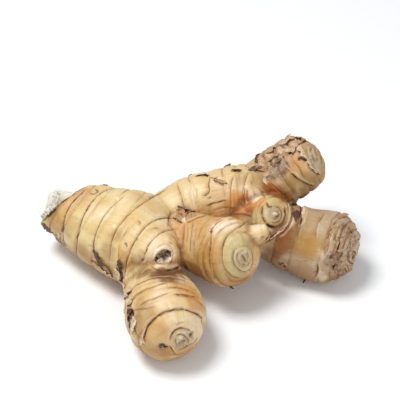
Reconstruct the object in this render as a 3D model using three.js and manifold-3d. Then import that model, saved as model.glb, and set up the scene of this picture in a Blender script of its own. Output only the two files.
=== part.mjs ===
// Ginger root: one rhizome of stubby lobes that grew out of each other, lying on a flat surface.
// Millimetres, +Z up, seen from -Y. The origin is the centre of the footprint, on that surface.
//
// Each lobe is a lathe profile bent along its growth axis. Its skin carries ring-shaped leaf scars,
// each a thin raised lip with a groove on the side of the tip. The lobes, torn scales, rootlet
// stubs and torn fibres are joined in one solid, which stands on small flats worn on its underside.
import * as THREE from "three";
import { mergeVertices } from "three/addons/utils/BufferGeometryUtils.js";
import Module from "manifold-3d";

const wasm = await Module();
wasm.setup();

// Where the centre of the footprint lies in the coordinates of the growth axes below.
const FOOTPRINT_CENTRE = new THREE.Vector3(-0.872, -17.24, 0);

const SKIN_COLOUR = 0xd9b277;
const SKIN_ROUGHNESS = 0.55;

// Leaf scars: a lip that fades towards the root, a groove on the tip's side of it,
// and the swell of the skin between two rings.
const LIP_HEIGHT = 0.3;
const LIP_RUN = 1.0;
const GROOVE_DEPTH = 0.38;
const GROOVE_OFFSET = 0.25;
const GROOVE_WIDTH = 0.45;
const INTERNODE_SWELL = 0.35;
// Where the lathe has stations at a scar, as distances towards the tip, and the longest step between them.
const SCAR_STATIONS = [0.85, GROOVE_OFFSET, -0.1];
const FIRST_STATION = 0.9;
const LONGEST_STEP = 4.2;
// The slow bumps of the whole rhizome.
const BUMP_HEIGHT = 0.45;

// axis: points from the root of the lobe to its tip; girth: its radius at each of them.
// dome: the length over which the tip rounds off.
// scars: the rings, as distances back from the tip along the skin.
// slant: how far a ring leans along the lobe, and the angle round the lobe where it leans most.
// sides: the facets round it. rough: how ragged the lips of its scars are.
const LOBES = {
  stump: {
    axis: [
      [-67, 15, 20], [-57, 11.5, 19], [-47, 6.5, 17.8],
      [-36, 0.5, 17], [-26, -4, 17.2], [-11, -10, 17.5],
    ],
    girth: [8, 10.8, 14.2, 16.9, 17.6, 14],
    dome: 12,
    scars: [28.5, 36, 44.5, 53, 60.5],
    slant: [2.8, 100],
    sides: 22,
    rough: 0.25,
  },
  eye: {
    axis: [[-27, -2, 16.5], [-22.5, -11, 17.8], [-18.3, -19.5, 22.4], [-13.6, -28.5, 28.3]],
    girth: [16.5, 16.6, 11.4, 5],
    dome: 3.2,
    scars: [2.6, 6.5, 12.5, 20],
    slant: [1.2, 200],
    sides: 20,
    rough: 0.15,
  },
  front_finger: {
    axis: [
      [-21.4, -14, 15], [-19.2, -25, 14.2], [-16.4, -34, 14.4],
      [-14, -42, 14.7], [-12.7, -49, 14.9], [-7, -62, 14.4],
    ],
    girth: [10.4, 11.4, 13.2, 14.7, 15.1, 14.6],
    dome: 13.5,
    scars: [2.2, 5.2, 15.5, 21, 25.5, 29, 33],
    slant: [1.6, 160],
    sides: 22,
    rough: 0.3,
  },
  middle_finger: {
    axis: [[-12, -4, 18.5], [-5.6, -8, 20.4], [1.5, -12.8, 20.3], [8.5, -18, 21.8], [17, -28.6, 27.3]],
    girth: [8.5, 10.2, 12.1, 13.1, 12.5],
    dome: 11,
    scars: [3.6, 5.2, 10.8, 15.5, 19, 23.2],
    slant: [1.2, 20],
    sides: 22,
    rough: 0.15,
  },
  knob: {
    axis: [[14, -18, 26], [20, -17.6, 29.2], [27.2, -16.6, 31]],
    girth: [5, 4.1, 3.4],
    dome: 3,
    scars: [1.6, 5],
    slant: [0.4, 0],
    sides: 10,
    rough: 0.1,
  },
  back_arm: {
    axis: [
      [-18, 3, 16.5], [-9, 8, 19.3], [1, 11, 22.5], [11, 11.4, 25.6],
      [20, 11.6, 28.8], [27, 12.6, 32], [33, 14, 34],
    ],
    girth: [11, 11.8, 11.8, 11.6, 10.6, 9, 8],
    dome: 5,
    scars: [12.5, 18, 24, 30, 37, 43.5, 50],
    slant: [1.5, 90],
    sides: 20,
    rough: 0.35,
  },
  top_finger: {
    axis: [[23, 12.3, 30.8], [30.5, 13.6, 34], [37, 15.2, 36], [42.5, 17.6, 37.2], [49, 20.6, 38.8]],
    girth: [7.5, 11.5, 12.7, 12.6, 11.8],
    dome: 9.8,
    scars: [3, 7.5, 13.5, 18.5, 23.5, 27.5],
    slant: [1.8, 250],
    sides: 20,
    rough: 0.8,
  },
  side_bud: {
    axis: [[22, 3.5, 21], [26.5, -1.5, 25.5], [30, -8.8, 32]],
    girth: [11, 9.4, 8],
    dome: 5,
    scars: [2.1, 4.8, 8.6],
    slant: [0.5, 250],
    sides: 18,
    rough: 0.15,
  },
  right_lobe: {
    axis: [[12, 4, 17.5], [23, 0.8, 17], [34, -2.2, 15.8], [48, -5.7, 14.5], [62.6, -12.6, 14.6]],
    girth: [9, 9.8, 12.8, 14.4, 13.8],
    dome: 13,
    scars: [3, 7, 11.5, 15, 20.5, 28, 35.5, 42],
    slant: [1.4, 60],
    sides: 22,
    rough: 0.9,
  },
  heel: {
    axis: [[-24, 4, 14], [-8, 7, 12.9], [6, 7, 12.7], [20, 5, 13.5]],
    girth: [11, 13, 13, 10],
    dome: 8,
    scars: [14, 22, 30],
    slant: [1.5, 0],
    sides: 12,
    rough: 0.5,
  },
};

// The old end of the stump was broken off along this plane, which faces up, back and to the left.
const BREAK = {
  centre: new THREE.Vector3(-56.9, 11.5, 19),
  normal: new THREE.Vector3(-0.587, 0.619, 0.522).normalize(),
  across: new THREE.Vector3(0.726, 0.688, 0).normalize(),
  up: new THREE.Vector3(0.359, -0.379, 0.853).normalize(),
  dish: [8.6, 1.5, 8.6],
};

// How deep scales, rootlets and fibres are sunk below the surface that they stand on.
const SUNK = 1.2;
const FIBRE_SUNK = 3;

// Torn scales: the ring that each one hangs on, the angles it spans round the lobe,
// its reach towards the tip and how far its edge stands off.
const SCALES = [
  ["stump", { ring: 44.5, from: -75, to: -25, reach: 2.6, lift: 0.9 }],
  ["stump", { ring: 35.5, from: -65, to: -15, reach: 3.2, lift: 1.1 }],
  ["back_arm", { ring: 48.5, from: 5, to: 60, reach: 4.4, lift: 1.2 }],
  ["back_arm", { ring: 43.5, from: 60, to: 115, reach: 2.8, lift: 0.8 }],
  ["back_arm", { ring: 30.0, from: 150, to: 215, reach: 3.4, lift: 0.8 }],
  ["top_finger", { ring: 27.5, from: 10, to: 75, reach: 3.4, lift: 1.0 }],
  ["top_finger", { ring: 23.5, from: 70, to: 140, reach: 3.6, lift: 0.9 }],
  ["top_finger", { ring: 18.5, from: -55, to: 15, reach: 3.2, lift: 1.0 }],
  ["right_lobe", { ring: 20.5, from: 60, to: 125, reach: 3.4, lift: 0.8 }],
  ["right_lobe", { ring: 15.0, from: -25, to: 45, reach: 2.8, lift: 0.8 }],
  ["right_lobe", { ring: 42.0, from: 55, to: 110, reach: 6.5, lift: 1.4 }],
  ["front_finger", { ring: 29.0, from: 150, to: 215, reach: 3.2, lift: 0.9 }],
];

// Broken rootlets: the ring coordinate and angle of the foot, the radius there, the length and the curl.
const ROOTLETS = [
  ["middle_finger", { ring: 15.5, angle: -80, radius: 0.9, length: 3.0, curl: [0.8, 0.4] }],
  ["back_arm", { ring: 33.5, angle: 75, radius: 0.8, length: 2.6, curl: [1.4, 0.2] }],
  ["right_lobe", { ring: 26.0, angle: -62, radius: 0.8, length: 3.2, curl: [0.3, 1.2] }],
  ["stump", { ring: 58.0, angle: 85, radius: 1.3, length: 1.4, curl: [0.3, 0.2] }],
  ["stump", { ring: 50.0, angle: 230, radius: 1.1, length: 3.6, curl: [0.9, 0.9] }],
  ["back_arm", { ring: 40.0, angle: 200, radius: 1.0, length: 3.4, curl: [0.7, -0.8] }],
  ["back_arm", { ring: 21.0, angle: 235, radius: 0.9, length: 2.8, curl: [0.5, 0.9] }],
  ["right_lobe", { ring: 31.0, angle: 190, radius: 1.0, length: 3.2, curl: [-0.9, 0.4] }],
];

// Torn fibres of the core: the foot on the break (across, up), the radius, the length and the curl.
const FIBRES = [
  { foot: [-6.6, 3.2], radius: 0.9, length: 5.4, curl: [1.2, 0.8] },
  { foot: [-4.6, 5.0], radius: 1.0, length: 6.4, curl: [0.4, -1.0] },
  { foot: [-2.3, 6.0], radius: 1.0, length: 6.8, curl: [-1.0, 0.6] },
  { foot: [0.3, 6.6], radius: 0.9, length: 5.2, curl: [0.9, 1.1] },
  { foot: [-4.8, 1.6], radius: 1.1, length: 7.4, curl: [-0.8, -0.9] },
  { foot: [-2.2, 2.6], radius: 1.1, length: 8.2, curl: [1.1, -0.4] },
  { foot: [0.6, 3.2], radius: 1.0, length: 6.6, curl: [-0.6, 1.0] },
  { foot: [2.8, -0.4], radius: 1.1, length: 4.6, curl: [-0.7, -0.6] },
];

// Hollows: the sunken eye of the young bud, and the pits in the end scars.
const HOLLOWS = [
  ["eye", { ring: 0.9, angle: 0, radius: 2.5, depth: 1.5 }],
  ["front_finger", { ring: 1.0, angle: 90, radius: 1.3, depth: 0.8 }],
  ["front_finger", { ring: 5.6, angle: 150, radius: 1.2, depth: 0.9 }],
  ["right_lobe", { ring: 0.9, angle: 0, radius: 1.6, depth: 0.9 }],
  ["knob", { ring: 1.4, angle: 250, radius: 0.8, depth: 0.6 }],
];

const radians = THREE.MathUtils.degToRad;
const clamp = THREE.MathUtils.clamp;
const UP = new THREE.Vector3(0, 0, 1);

// A cubic through (xs, ys) whose slope at each point follows its neighbours.
function smoothThrough(xs, ys, x) {
  const last = xs.length - 1;
  let i = 0;
  while (i < last - 1 && x > xs[i + 1]) i++;
  const slope = (k) => {
    const a = Math.max(k - 1, 0);
    const b = Math.min(k + 1, last);
    return (ys[b] - ys[a]) / (xs[b] - xs[a]);
  };
  const step = xs[i + 1] - xs[i];
  const t = clamp((x - xs[i]) / step, 0, 1);
  const t2 = t * t;
  const t3 = t2 * t;
  return (
    (2 * t3 - 3 * t2 + 1) * ys[i] +
    (t3 - 2 * t2 + t) * step * slope(i) +
    (3 * t2 - 2 * t3) * ys[i + 1] +
    (t3 - t2) * step * slope(i + 1)
  );
}

// An uneven edge round a lobe, between -1 and 1.
function ragged(angle, seed) {
  return (
    0.45 * Math.sin(3 * angle + seed) +
    0.3 * Math.sin(7 * angle + 2.3 * seed) +
    0.25 * Math.sin(11 * angle + 4.1 * seed)
  );
}

// The slow bumps, as a sum of waves through space.
function bumpAt(p) {
  return (
    BUMP_HEIGHT *
    (0.5 * Math.sin(0.21 * p.x + 0.17 * p.y + 0.9) +
      0.35 * Math.sin(0.31 * p.y - 0.27 * p.z + 2.1) +
      0.35 * Math.sin(0.37 * p.z + 0.33 * p.x + 4.0))
  );
}

class Lobe {
  constructor(spec) {
    Object.assign(this, spec);
    this.curve = new THREE.CatmullRomCurve3(spec.axis.map((p) => new THREE.Vector3(...p)));
    const steps = 40;
    this.curve.arcLengthDivisions = steps * (spec.axis.length - 1);
    const lengths = this.curve.getLengths();
    this.length = this.curve.getLength();
    this.stops = spec.axis.map((_, i) => lengths[i * steps]);
    this.meridian = this.makeMeridian();
  }

  girthAt(along) {
    return smoothThrough(this.stops, this.girth, along);
  }

  // The outline in one half-plane, from the tip back to the root, with its own length as "skin".
  makeMeridian() {
    const points = [];
    const domeSteps = 60;
    const bodySteps = 160;
    const shoulder = this.length - this.dome;
    for (let i = 0; i <= domeSteps; i++) {
      const turn = (Math.PI / 2) * (1 - i / domeSteps);
      const along = shoulder + this.dome * Math.sin(turn);
      points.push({ along, radius: this.girthAt(along) * Math.cos(turn) });
    }
    for (let i = 1; i <= bodySteps; i++) {
      const along = shoulder * (1 - i / bodySteps);
      points.push({ along, radius: this.girthAt(along) });
    }
    let skin = 0;
    points.forEach((p, i) => {
      if (i) skin += Math.hypot(p.along - points[i - 1].along, p.radius - points[i - 1].radius);
      p.skin = skin;
    });
    return points;
  }

  get skinLength() {
    return this.meridian.at(-1).skin;
  }

  // The outline at a distance back from the tip along the skin, with its outward normal.
  outlineAt(skin) {
    const m = this.meridian;
    let i = 1;
    while (i < m.length - 1 && m[i].skin < skin) i++;
    const a = m[i - 1];
    const b = m[i];
    const t = clamp((skin - a.skin) / (b.skin - a.skin), 0, 1);
    const run = b.skin - a.skin;
    return {
      along: a.along + t * (b.along - a.along),
      radius: a.radius + t * (b.radius - a.radius),
      normalAlong: (b.radius - a.radius) / run,
      normalOut: -(b.along - a.along) / run,
    };
  }

  // How far a ring is carried along the skin at an angle round the lobe. Rings near the tip stay round.
  shift(skin, angle) {
    const [reach, toward] = this.slant;
    const eased = clamp((skin - 4) / 10, 0, 1);
    return eased * (reach * Math.cos(angle - radians(toward)) + 0.3 * Math.sin(2 * angle + this.length));
  }

  // Height of the skin over its outline at a ring coordinate: lip, groove and the swell between rings.
  relief(ring, angle) {
    const rings = this.scars;
    let nearest = rings[0];
    for (const r of rings) if (Math.abs(ring - r) < Math.abs(ring - nearest)) nearest = r;
    const q = ring - nearest;
    const torn = 1 + this.rough * ragged(angle, nearest);
    const small = clamp(nearest / 8, 0.45, 1);
    const lip = q > 0 ? LIP_HEIGHT * torn * Math.exp(-q / LIP_RUN) : 0;
    const groove = GROOVE_DEPTH * Math.exp(-(((q + GROOVE_OFFSET) / GROOVE_WIDTH) ** 2));
    const older = rings.find((r) => r > ring);
    const younger = rings.findLast((r) => r <= ring) ?? 0;
    const swell = older ? INTERNODE_SWELL * Math.sin((Math.PI * (ring - younger)) / (older - younger)) : 0;
    return small * (lip - groove + swell);
  }

  frameAt(along) {
    const u = clamp(along / this.length, 0, 1);
    const centre = this.curve.getPointAt(u);
    const forward = this.curve.getTangentAt(u);
    const side = new THREE.Vector3().crossVectors(forward, UP).normalize();
    const top = new THREE.Vector3().crossVectors(side, forward);
    return { centre, forward, side, top };
  }

  // A point on the skin: ring coordinate, angle round the lobe (0 at its side, 90 degrees at its top)
  // and height over the skin.
  skinPoint(ring, angle, lift = 0) {
    const skin = clamp(ring - this.shift(ring, angle), 0, this.skinLength);
    const outline = this.outlineAt(skin);
    const { centre, forward, side, top } = this.frameAt(outline.along);
    const out = new THREE.Vector3()
      .addScaledVector(side, Math.cos(angle))
      .addScaledVector(top, Math.sin(angle));
    const height = lift + this.relief(ring, angle);
    const point = centre.clone().addScaledVector(out, outline.radius);
    const raise = height + bumpAt(point);
    const normal = new THREE.Vector3()
      .addScaledVector(out, outline.normalOut)
      .addScaledVector(forward, outline.normalAlong)
      .normalize();
    return { point: point.addScaledVector(normal, raise), normal };
  }

  // Ring coordinates of the stations: close together at each scar, and about evenly spread between.
  stations() {
    const atScars = this.scars.flatMap((ring) => SCAR_STATIONS.map((towardsTip) => ring - towardsTip));
    const fixed = atScars.filter((c) => c > FIRST_STATION && c < this.skinLength - 2).sort((a, b) => a - b);
    const all = [FIRST_STATION];
    for (const station of [...fixed, this.skinLength]) {
      const before = all.at(-1);
      const parts = Math.ceil((station - before) / LONGEST_STEP);
      for (let k = 1; k <= parts; k++) all.push(before + ((station - before) * k) / parts);
    }
    return all;
  }

  // The lathe's profile gives the rings and its turns the angles, and each vertex is laid on the skin.
  solid() {
    const wall = this.stations().map((ring) => new THREE.Vector2(1, ring));
    const profile = [new THREE.Vector2(0, 0), ...wall, new THREE.Vector2(0, this.skinLength + 1)];
    const lathe = new THREE.LatheGeometry(profile, this.sides);
    const at = lathe.getAttribute("position");
    for (let i = 0; i < at.count; i++) {
      const onAxis = Math.hypot(at.getX(i), at.getZ(i)) < 0.5;
      const ring = at.getY(i);
      const angle = Math.atan2(at.getZ(i), at.getX(i));
      let p;
      if (!onAxis) p = this.skinPoint(ring, angle).point;
      else p = this.frameAt(ring < 0.5 ? this.length : 0).centre;
      at.setXYZ(i, p.x, p.y, p.z);
    }
    return solidFrom(lathe);
  }
}

// A closed three.js geometry as a solid. One that is wound inside out is turned round.
function solidFrom(geometry) {
  const bare = geometry.clone();
  bare.deleteAttribute("normal");
  bare.deleteAttribute("uv");
  const merged = mergeVertices(bare, 1e-4);
  const corners = merged.index.array;
  const kept = [];
  for (let i = 0; i < corners.length; i += 3) {
    const [a, b, c] = [corners[i], corners[i + 1], corners[i + 2]];
    if (a !== b && b !== c && a !== c) kept.push(a, b, c);
  }
  const vertProperties = Float32Array.from(merged.attributes.position.array);
  const make = (triangles) => {
    const triVerts = Uint32Array.from(triangles);
    return new wasm.Manifold(new wasm.Mesh({ numProp: 3, vertProperties, triVerts }));
  };
  const made = make(kept);
  if (made.volume() > 0) return made;
  for (let i = 0; i < kept.length; i += 3) [kept[i + 1], kept[i + 2]] = [kept[i + 2], kept[i + 1]];
  return make(kept);
}

function union(solids) {
  return solids.reduce((a, b) => a.add(b));
}

// A torn leaf scale: a plate bent onto the skin, sunk at its root and standing off at its ragged edge.
function scaleOn(lobe, { ring, from, to, reach, lift }) {
  const plate = new THREE.BoxGeometry(1, 1, 1, 6, 1, 1);
  const at = plate.getAttribute("position");
  for (let i = 0; i < at.count; i++) {
    const across = at.getX(i) + 0.5;
    const down = 0.5 - at.getY(i);
    const outside = at.getZ(i) > 0;
    const angle = radians(THREE.MathUtils.lerp(from, to, across));
    const fullness = Math.sqrt(Math.sin(Math.PI * clamp(across, 0.08, 0.92)));
    const edge = reach * fullness * (1 + 0.4 * ragged(2.5 * angle, ring));
    const undercut = outside ? 0 : 0.35 * down;
    const height = outside ? lift * fullness * (0.1 + 0.9 * down) : -SUNK;
    const p = lobe.skinPoint(ring + 0.6 - down * (edge + 0.6) + undercut, angle, height).point;
    at.setXYZ(i, p.x, p.y, p.z);
  }
  return solidFrom(plate);
}

// Turns a shape that stands along +Y onto a direction, with its foot at a point.
function standOn(geometry, point, direction) {
  const turn = new THREE.Quaternion().setFromUnitVectors(new THREE.Vector3(0, 1, 0), direction);
  return geometry.applyQuaternion(turn).translate(point.x, point.y, point.z);
}

// A tapering strand that stands along +Y from below its foot and curls aside.
function strand({ radius, length, curl }, sunk, sides) {
  const shape = new THREE.CylinderGeometry(0.4 * radius, radius, length + sunk, sides, 2);
  shape.translate(0, (length - sunk) / 2, 0);
  const at = shape.getAttribute("position");
  for (let i = 0; i < at.count; i++) {
    const height = Math.max(at.getY(i), 0) / length;
    at.setX(i, at.getX(i) + curl[0] * height * height);
    at.setZ(i, at.getZ(i) + curl[1] * height * height);
  }
  return shape;
}

function rootletOn(lobe, spec) {
  const { point, normal } = lobe.skinPoint(spec.ring, radians(spec.angle));
  return solidFrom(standOn(strand(spec, SUNK, 5), point, normal));
}

function fibreOn(spec) {
  const [across, up] = spec.foot;
  const point = BREAK.centre.clone().addScaledVector(BREAK.across, across).addScaledVector(BREAK.up, up);
  return solidFrom(standOn(strand(spec, FIBRE_SUNK, 4), point, BREAK.normal));
}

// A hollow in the skin, to be cut out.
function hollowIn(lobe, { ring, angle, radius, depth }) {
  const { point, normal } = lobe.skinPoint(ring, radians(angle));
  return solidFrom(standOn(new THREE.SphereGeometry(1, 10, 6).scale(radius, depth, radius), point, normal));
}

const lobes = Object.fromEntries(Object.entries(LOBES).map(([name, spec]) => [name, new Lobe(spec)]));

function buildRoot() {
  let body = union(Object.values(lobes).map((lobe) => lobe.solid()));

  // Everything behind the break is gone, and the break is dished.
  const beyond = new THREE.BoxGeometry(60, 60, 60).translate(0, 30, 0);
  body = body.subtract(solidFrom(standOn(beyond, BREAK.centre, BREAK.normal)));
  const dish = new THREE.SphereGeometry(1, 12, 6).scale(...BREAK.dish);
  body = body.subtract(solidFrom(standOn(dish, BREAK.centre, BREAK.normal)));

  body = union([
    body,
    ...SCALES.map(([name, spec]) => scaleOn(lobes[name], spec)),
    ...ROOTLETS.map(([name, spec]) => rootletOn(lobes[name], spec)),
    ...FIBRES.map(fibreOn),
  ]);
  for (const [name, spec] of HOLLOWS) body = body.subtract(hollowIn(lobes[name], spec));

  // The underside is worn flat where it meets the surface.
  const ground = new THREE.BoxGeometry(300, 300, 40).translate(0, 0, -20);
  return body.subtract(solidFrom(ground));
}

function meshFrom(solid, name) {
  const { vertProperties, triVerts, numProp } = solid.getMesh();
  const count = vertProperties.length / numProp;
  const positions = new Float32Array(count * 3);
  for (let i = 0; i < count; i++) {
    positions.set(vertProperties.subarray(i * numProp, i * numProp + 3), i * 3);
  }
  const geometry = new THREE.BufferGeometry();
  geometry.setAttribute("position", new THREE.BufferAttribute(positions, 3));
  geometry.setIndex(new THREE.BufferAttribute(Uint32Array.from(triVerts), 1));
  geometry.computeVertexNormals();
  const skin = { color: SKIN_COLOUR, roughness: SKIN_ROUGHNESS, metalness: 0 };
  const mesh = new THREE.Mesh(geometry, new THREE.MeshStandardMaterial(skin));
  mesh.name = name;
  return mesh;
}

const ginger = new THREE.Group();
const root = meshFrom(buildRoot(), "ginger_root");
root.position.copy(FOOTPRINT_CENTRE).negate();
ginger.add(root);

export default ginger;
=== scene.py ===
"""The looks of a fresh ginger rhizome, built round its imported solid.

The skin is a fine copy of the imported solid, laid on the same lobes as that solid: an outline turned
round each lobe's growth axis, with ring-shaped leaf scars. Sizes and places are in millimetres, in the
coordinates of the growth axes, and each finished mesh is in metres in the frame's own coordinates.
"""

from __future__ import annotations

import logging
import math
from dataclasses import dataclass
from enum import Enum
from typing import Iterable, Sequence, Union

import bpy
import numpy as np
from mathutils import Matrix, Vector
from mathutils.kdtree import KDTree

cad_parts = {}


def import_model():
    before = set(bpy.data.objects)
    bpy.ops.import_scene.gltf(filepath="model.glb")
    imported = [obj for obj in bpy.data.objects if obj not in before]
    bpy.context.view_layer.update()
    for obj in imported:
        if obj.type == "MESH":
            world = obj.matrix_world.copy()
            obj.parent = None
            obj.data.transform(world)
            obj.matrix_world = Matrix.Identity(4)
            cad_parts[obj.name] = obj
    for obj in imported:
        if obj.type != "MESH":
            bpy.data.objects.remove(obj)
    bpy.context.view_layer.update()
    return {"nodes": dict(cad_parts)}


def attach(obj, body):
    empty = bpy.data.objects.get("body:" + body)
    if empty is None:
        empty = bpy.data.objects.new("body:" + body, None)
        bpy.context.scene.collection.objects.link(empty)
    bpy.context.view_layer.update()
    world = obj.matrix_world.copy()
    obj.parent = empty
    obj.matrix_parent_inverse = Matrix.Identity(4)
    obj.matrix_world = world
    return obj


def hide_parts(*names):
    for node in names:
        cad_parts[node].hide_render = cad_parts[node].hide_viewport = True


log = logging.getLogger("ginger")

MM = 0.001
NODE = "ginger_root"
BODY = "root"

# Where the centre of the footprint lies in the coordinates of the growth axes.
FOOTPRINT_CENTRE = np.array([-0.872, -17.24, 0.0])

UP = np.array([0.0, 0.0, 1.0])

Point = tuple[float, float, float]
Number = Union[float, "Sock"]


def blend(low: float, high: float, value: np.ndarray) -> np.ndarray:
    """Eases from 0 at low to 1 at high.

    Args:
        low: Where the result is 0.
        high: Where the result is 1; it may be below low.
        value: The values to ease.

    Returns:
        The eased values, between 0 and 1.
    """
    t = np.clip((value - low) / (high - low), 0.0, 1.0)
    return t * t * (3.0 - 2.0 * t)


def unit(vectors: np.ndarray) -> np.ndarray:
    """Scales each row to length one."""
    return vectors / np.maximum(np.linalg.norm(vectors, axis=-1, keepdims=True), 1e-9)


def to_frame(points: np.ndarray) -> np.ndarray:
    """Turns growth coordinates in millimetres into the frame's metres."""
    return (points - FOOTPRINT_CENTRE) * MM


def from_frame(points: np.ndarray) -> np.ndarray:
    """Turns the frame's metres into growth coordinates in millimetres."""
    return points / MM + FOOTPRINT_CENTRE


class Noise:
    """Smooth random values through space, the same on each run."""

    def __init__(self, seed: int) -> None:
        """Draws the table of random values.

        Args:
            seed: What the draw starts from.
        """
        rng = np.random.default_rng(seed)
        self.table = rng.uniform(-1.0, 1.0, 4096)
        self.mix = np.array([73856093, 19349663, 83492791], dtype=np.int64)

    def at(self, points: np.ndarray) -> np.ndarray:
        """The value at each point.

        Args:
            points: Positions, with one unit for each random value.

        Returns:
            Values between -1 and 1.
        """
        cell = np.floor(points).astype(np.int64)
        t = points - cell
        t = t * t * (3.0 - 2.0 * t)
        total = np.zeros(len(points))
        for corner in np.ndindex(2, 2, 2):
            step = np.array(corner)
            weight = np.prod(np.where(step, t, 1.0 - t), axis=1)
            hashed = np.bitwise_xor.reduce((cell + step) * self.mix, axis=1) & 4095
            total += weight * self.table[hashed]
        return total

    def layered(self, points: np.ndarray, layers: int) -> np.ndarray:
        """The sum of the noise at ever finer sizes.

        Args:
            points: Positions, with one unit for each random value of the first layer.
            layers: How many sizes are added.

        Returns:
            Values between about -1 and 1.
        """
        total = np.zeros(len(points))
        share = 0.5
        for layer in range(layers):
            total += share * self.at(points * 2.0**layer + 17.3 * layer)
            share *= 0.5
        return total


@dataclass(frozen=True)
class Lobe:
    """The sizes of one lobe.

    Its axis runs from the root of the lobe to its tip, and girth is the radius at each of its points.
    The tip rounds off over the dome. Scars are rings, as distances back from the tip along the skin,
    and slant is how far a ring leans along the lobe and the angle where it leans most.
    """

    name: str
    axis: tuple[Point, ...]
    girth: tuple[float, ...]
    dome: float
    scars: tuple[float, ...]
    slant: tuple[float, float]
    rough: float
    fillet: float
    ring_ink: float = 0.6


LOBES = (
    Lobe(
        "stump",
        (
            (-67, 15, 20),
            (-57, 11.5, 19),
            (-47, 6.5, 17.8),
            (-36, 0.5, 17),
            (-26, -4, 17.2),
            (-11, -10, 17.5),
        ),
        (8, 10.8, 14.2, 16.9, 17.6, 14),
        12,
        (28.5, 36, 44.5, 53, 60.5),
        (2.8, 100),
        0.25,
        5.0,
    ),
    Lobe(
        "eye",
        ((-27, -2, 16.5), (-22.5, -11, 17.8), (-18.3, -19.5, 22.4), (-13.6, -28.5, 28.3)),
        (16.5, 16.6, 11.4, 5),
        3.2,
        (4.6, 14, 20),
        (1.2, 200),
        0.15,
        5.0,
    ),
    Lobe(
        "front_finger",
        (
            (-21.4, -14, 15),
            (-19.2, -25, 14.2),
            (-16.4, -34, 14.4),
            (-14, -42, 14.7),
            (-12.7, -49, 14.9),
            (-7, -62, 14.4),
        ),
        (10.4, 11.4, 13.2, 14.7, 15.1, 14.6),
        13.5,
        (2.2, 5.2, 15.5, 21, 25.5, 29, 33),
        (1.6, 160),
        0.3,
        1.6,
    ),
    Lobe(
        "middle_finger",
        ((-12, -4, 18.5), (-5.6, -8, 20.4), (1.5, -12.8, 20.3), (8.5, -18, 21.8), (17, -28.6, 27.3)),
        (8.5, 10.2, 12.1, 13.1, 12.5),
        11,
        (3.6, 5.2, 10.8, 15.5, 19, 23.2),
        (1.2, 20),
        0.15,
        1.8,
    ),
    Lobe(
        "knob",
        ((14, -18, 26), (20, -17.6, 29.2), (27.2, -16.6, 31)),
        (5, 4.1, 3.4),
        3,
        (1.6, 5),
        (0.4, 0),
        0.1,
        3.0,
        0.1,
    ),
    Lobe(
        "back_arm",
        (
            (-18, 3, 16.5),
            (-9, 8, 19.3),
            (1, 11, 22.5),
            (11, 11.4, 25.6),
            (20, 11.6, 28.8),
            (27, 12.6, 32),
            (33, 14, 34),
        ),
        (11, 11.8, 11.8, 11.6, 10.6, 9, 8),
        5,
        (12.5, 18, 24, 30, 37, 43.5, 50),
        (1.5, 90),
        0.35,
        3.0,
    ),
    Lobe(
        "top_finger",
        ((23, 12.3, 30.8), (30.5, 13.6, 34), (37, 15.2, 36), (42.5, 17.6, 37.2), (49, 20.6, 38.8)),
        (7.5, 11.5, 12.7, 12.6, 11.8),
        9.8,
        (3, 7.5, 13.5, 18.5, 23.5, 27.5),
        (1.8, 250),
        0.8,
        3.0,
    ),
    Lobe(
        "side_bud",
        ((22, 3.5, 21), (26.5, -1.5, 25.5), (30, -8.8, 32)),
        (11, 9.4, 8),
        5,
        (2.1, 4.8, 8.6),
        (0.5, 250),
        0.15,
        1.4,
    ),
    Lobe(
        "right_lobe",
        ((12, 4, 17.5), (23, 0.8, 17), (34, -2.2, 15.8), (48, -5.7, 14.5), (62.6, -12.6, 14.6)),
        (9, 9.8, 12.8, 14.4, 13.8),
        13,
        (3, 7, 11.5, 15, 20.5, 35.5, 42),
        (1.4, 60),
        0.9,
        2.2,
    ),
    Lobe(
        "heel",
        ((-24, 4, 14), (-8, 7, 12.9), (6, 7, 12.7), (20, 5, 13.5)),
        (11, 13, 13, 10),
        8,
        (14, 22, 30),
        (1.5, 0),
        0.5,
        4.0,
    ),
)


@dataclass(frozen=True)
class Relief:
    """The heights of the skin's own relief, in millimetres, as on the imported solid."""

    lip: float = 0.3
    lip_run: float = 1.0
    groove: float = 0.38
    groove_offset: float = 0.25
    groove_width: float = 0.45
    swell: float = 0.5
    bump: float = 0.45
    wander: float = 1.1
    wrinkle: float = 0.2
    pucker: float = 0.12
    scale: float = 0.5
    grain: float = 0.06


@dataclass
class Place:
    """Where points lie on a lobe: arrays with one entry for each point.

    Skin is the distance back from the tip along the outline, ring the same with the lean of the rings
    taken out, angle the turn round the lobe (0 at its side, 90 degrees at its top), height the distance
    from the outline, and normal the outline's outward direction.
    """

    skin: np.ndarray
    ring: np.ndarray
    angle: np.ndarray
    height: np.ndarray
    normal: np.ndarray
    foot: np.ndarray


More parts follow.
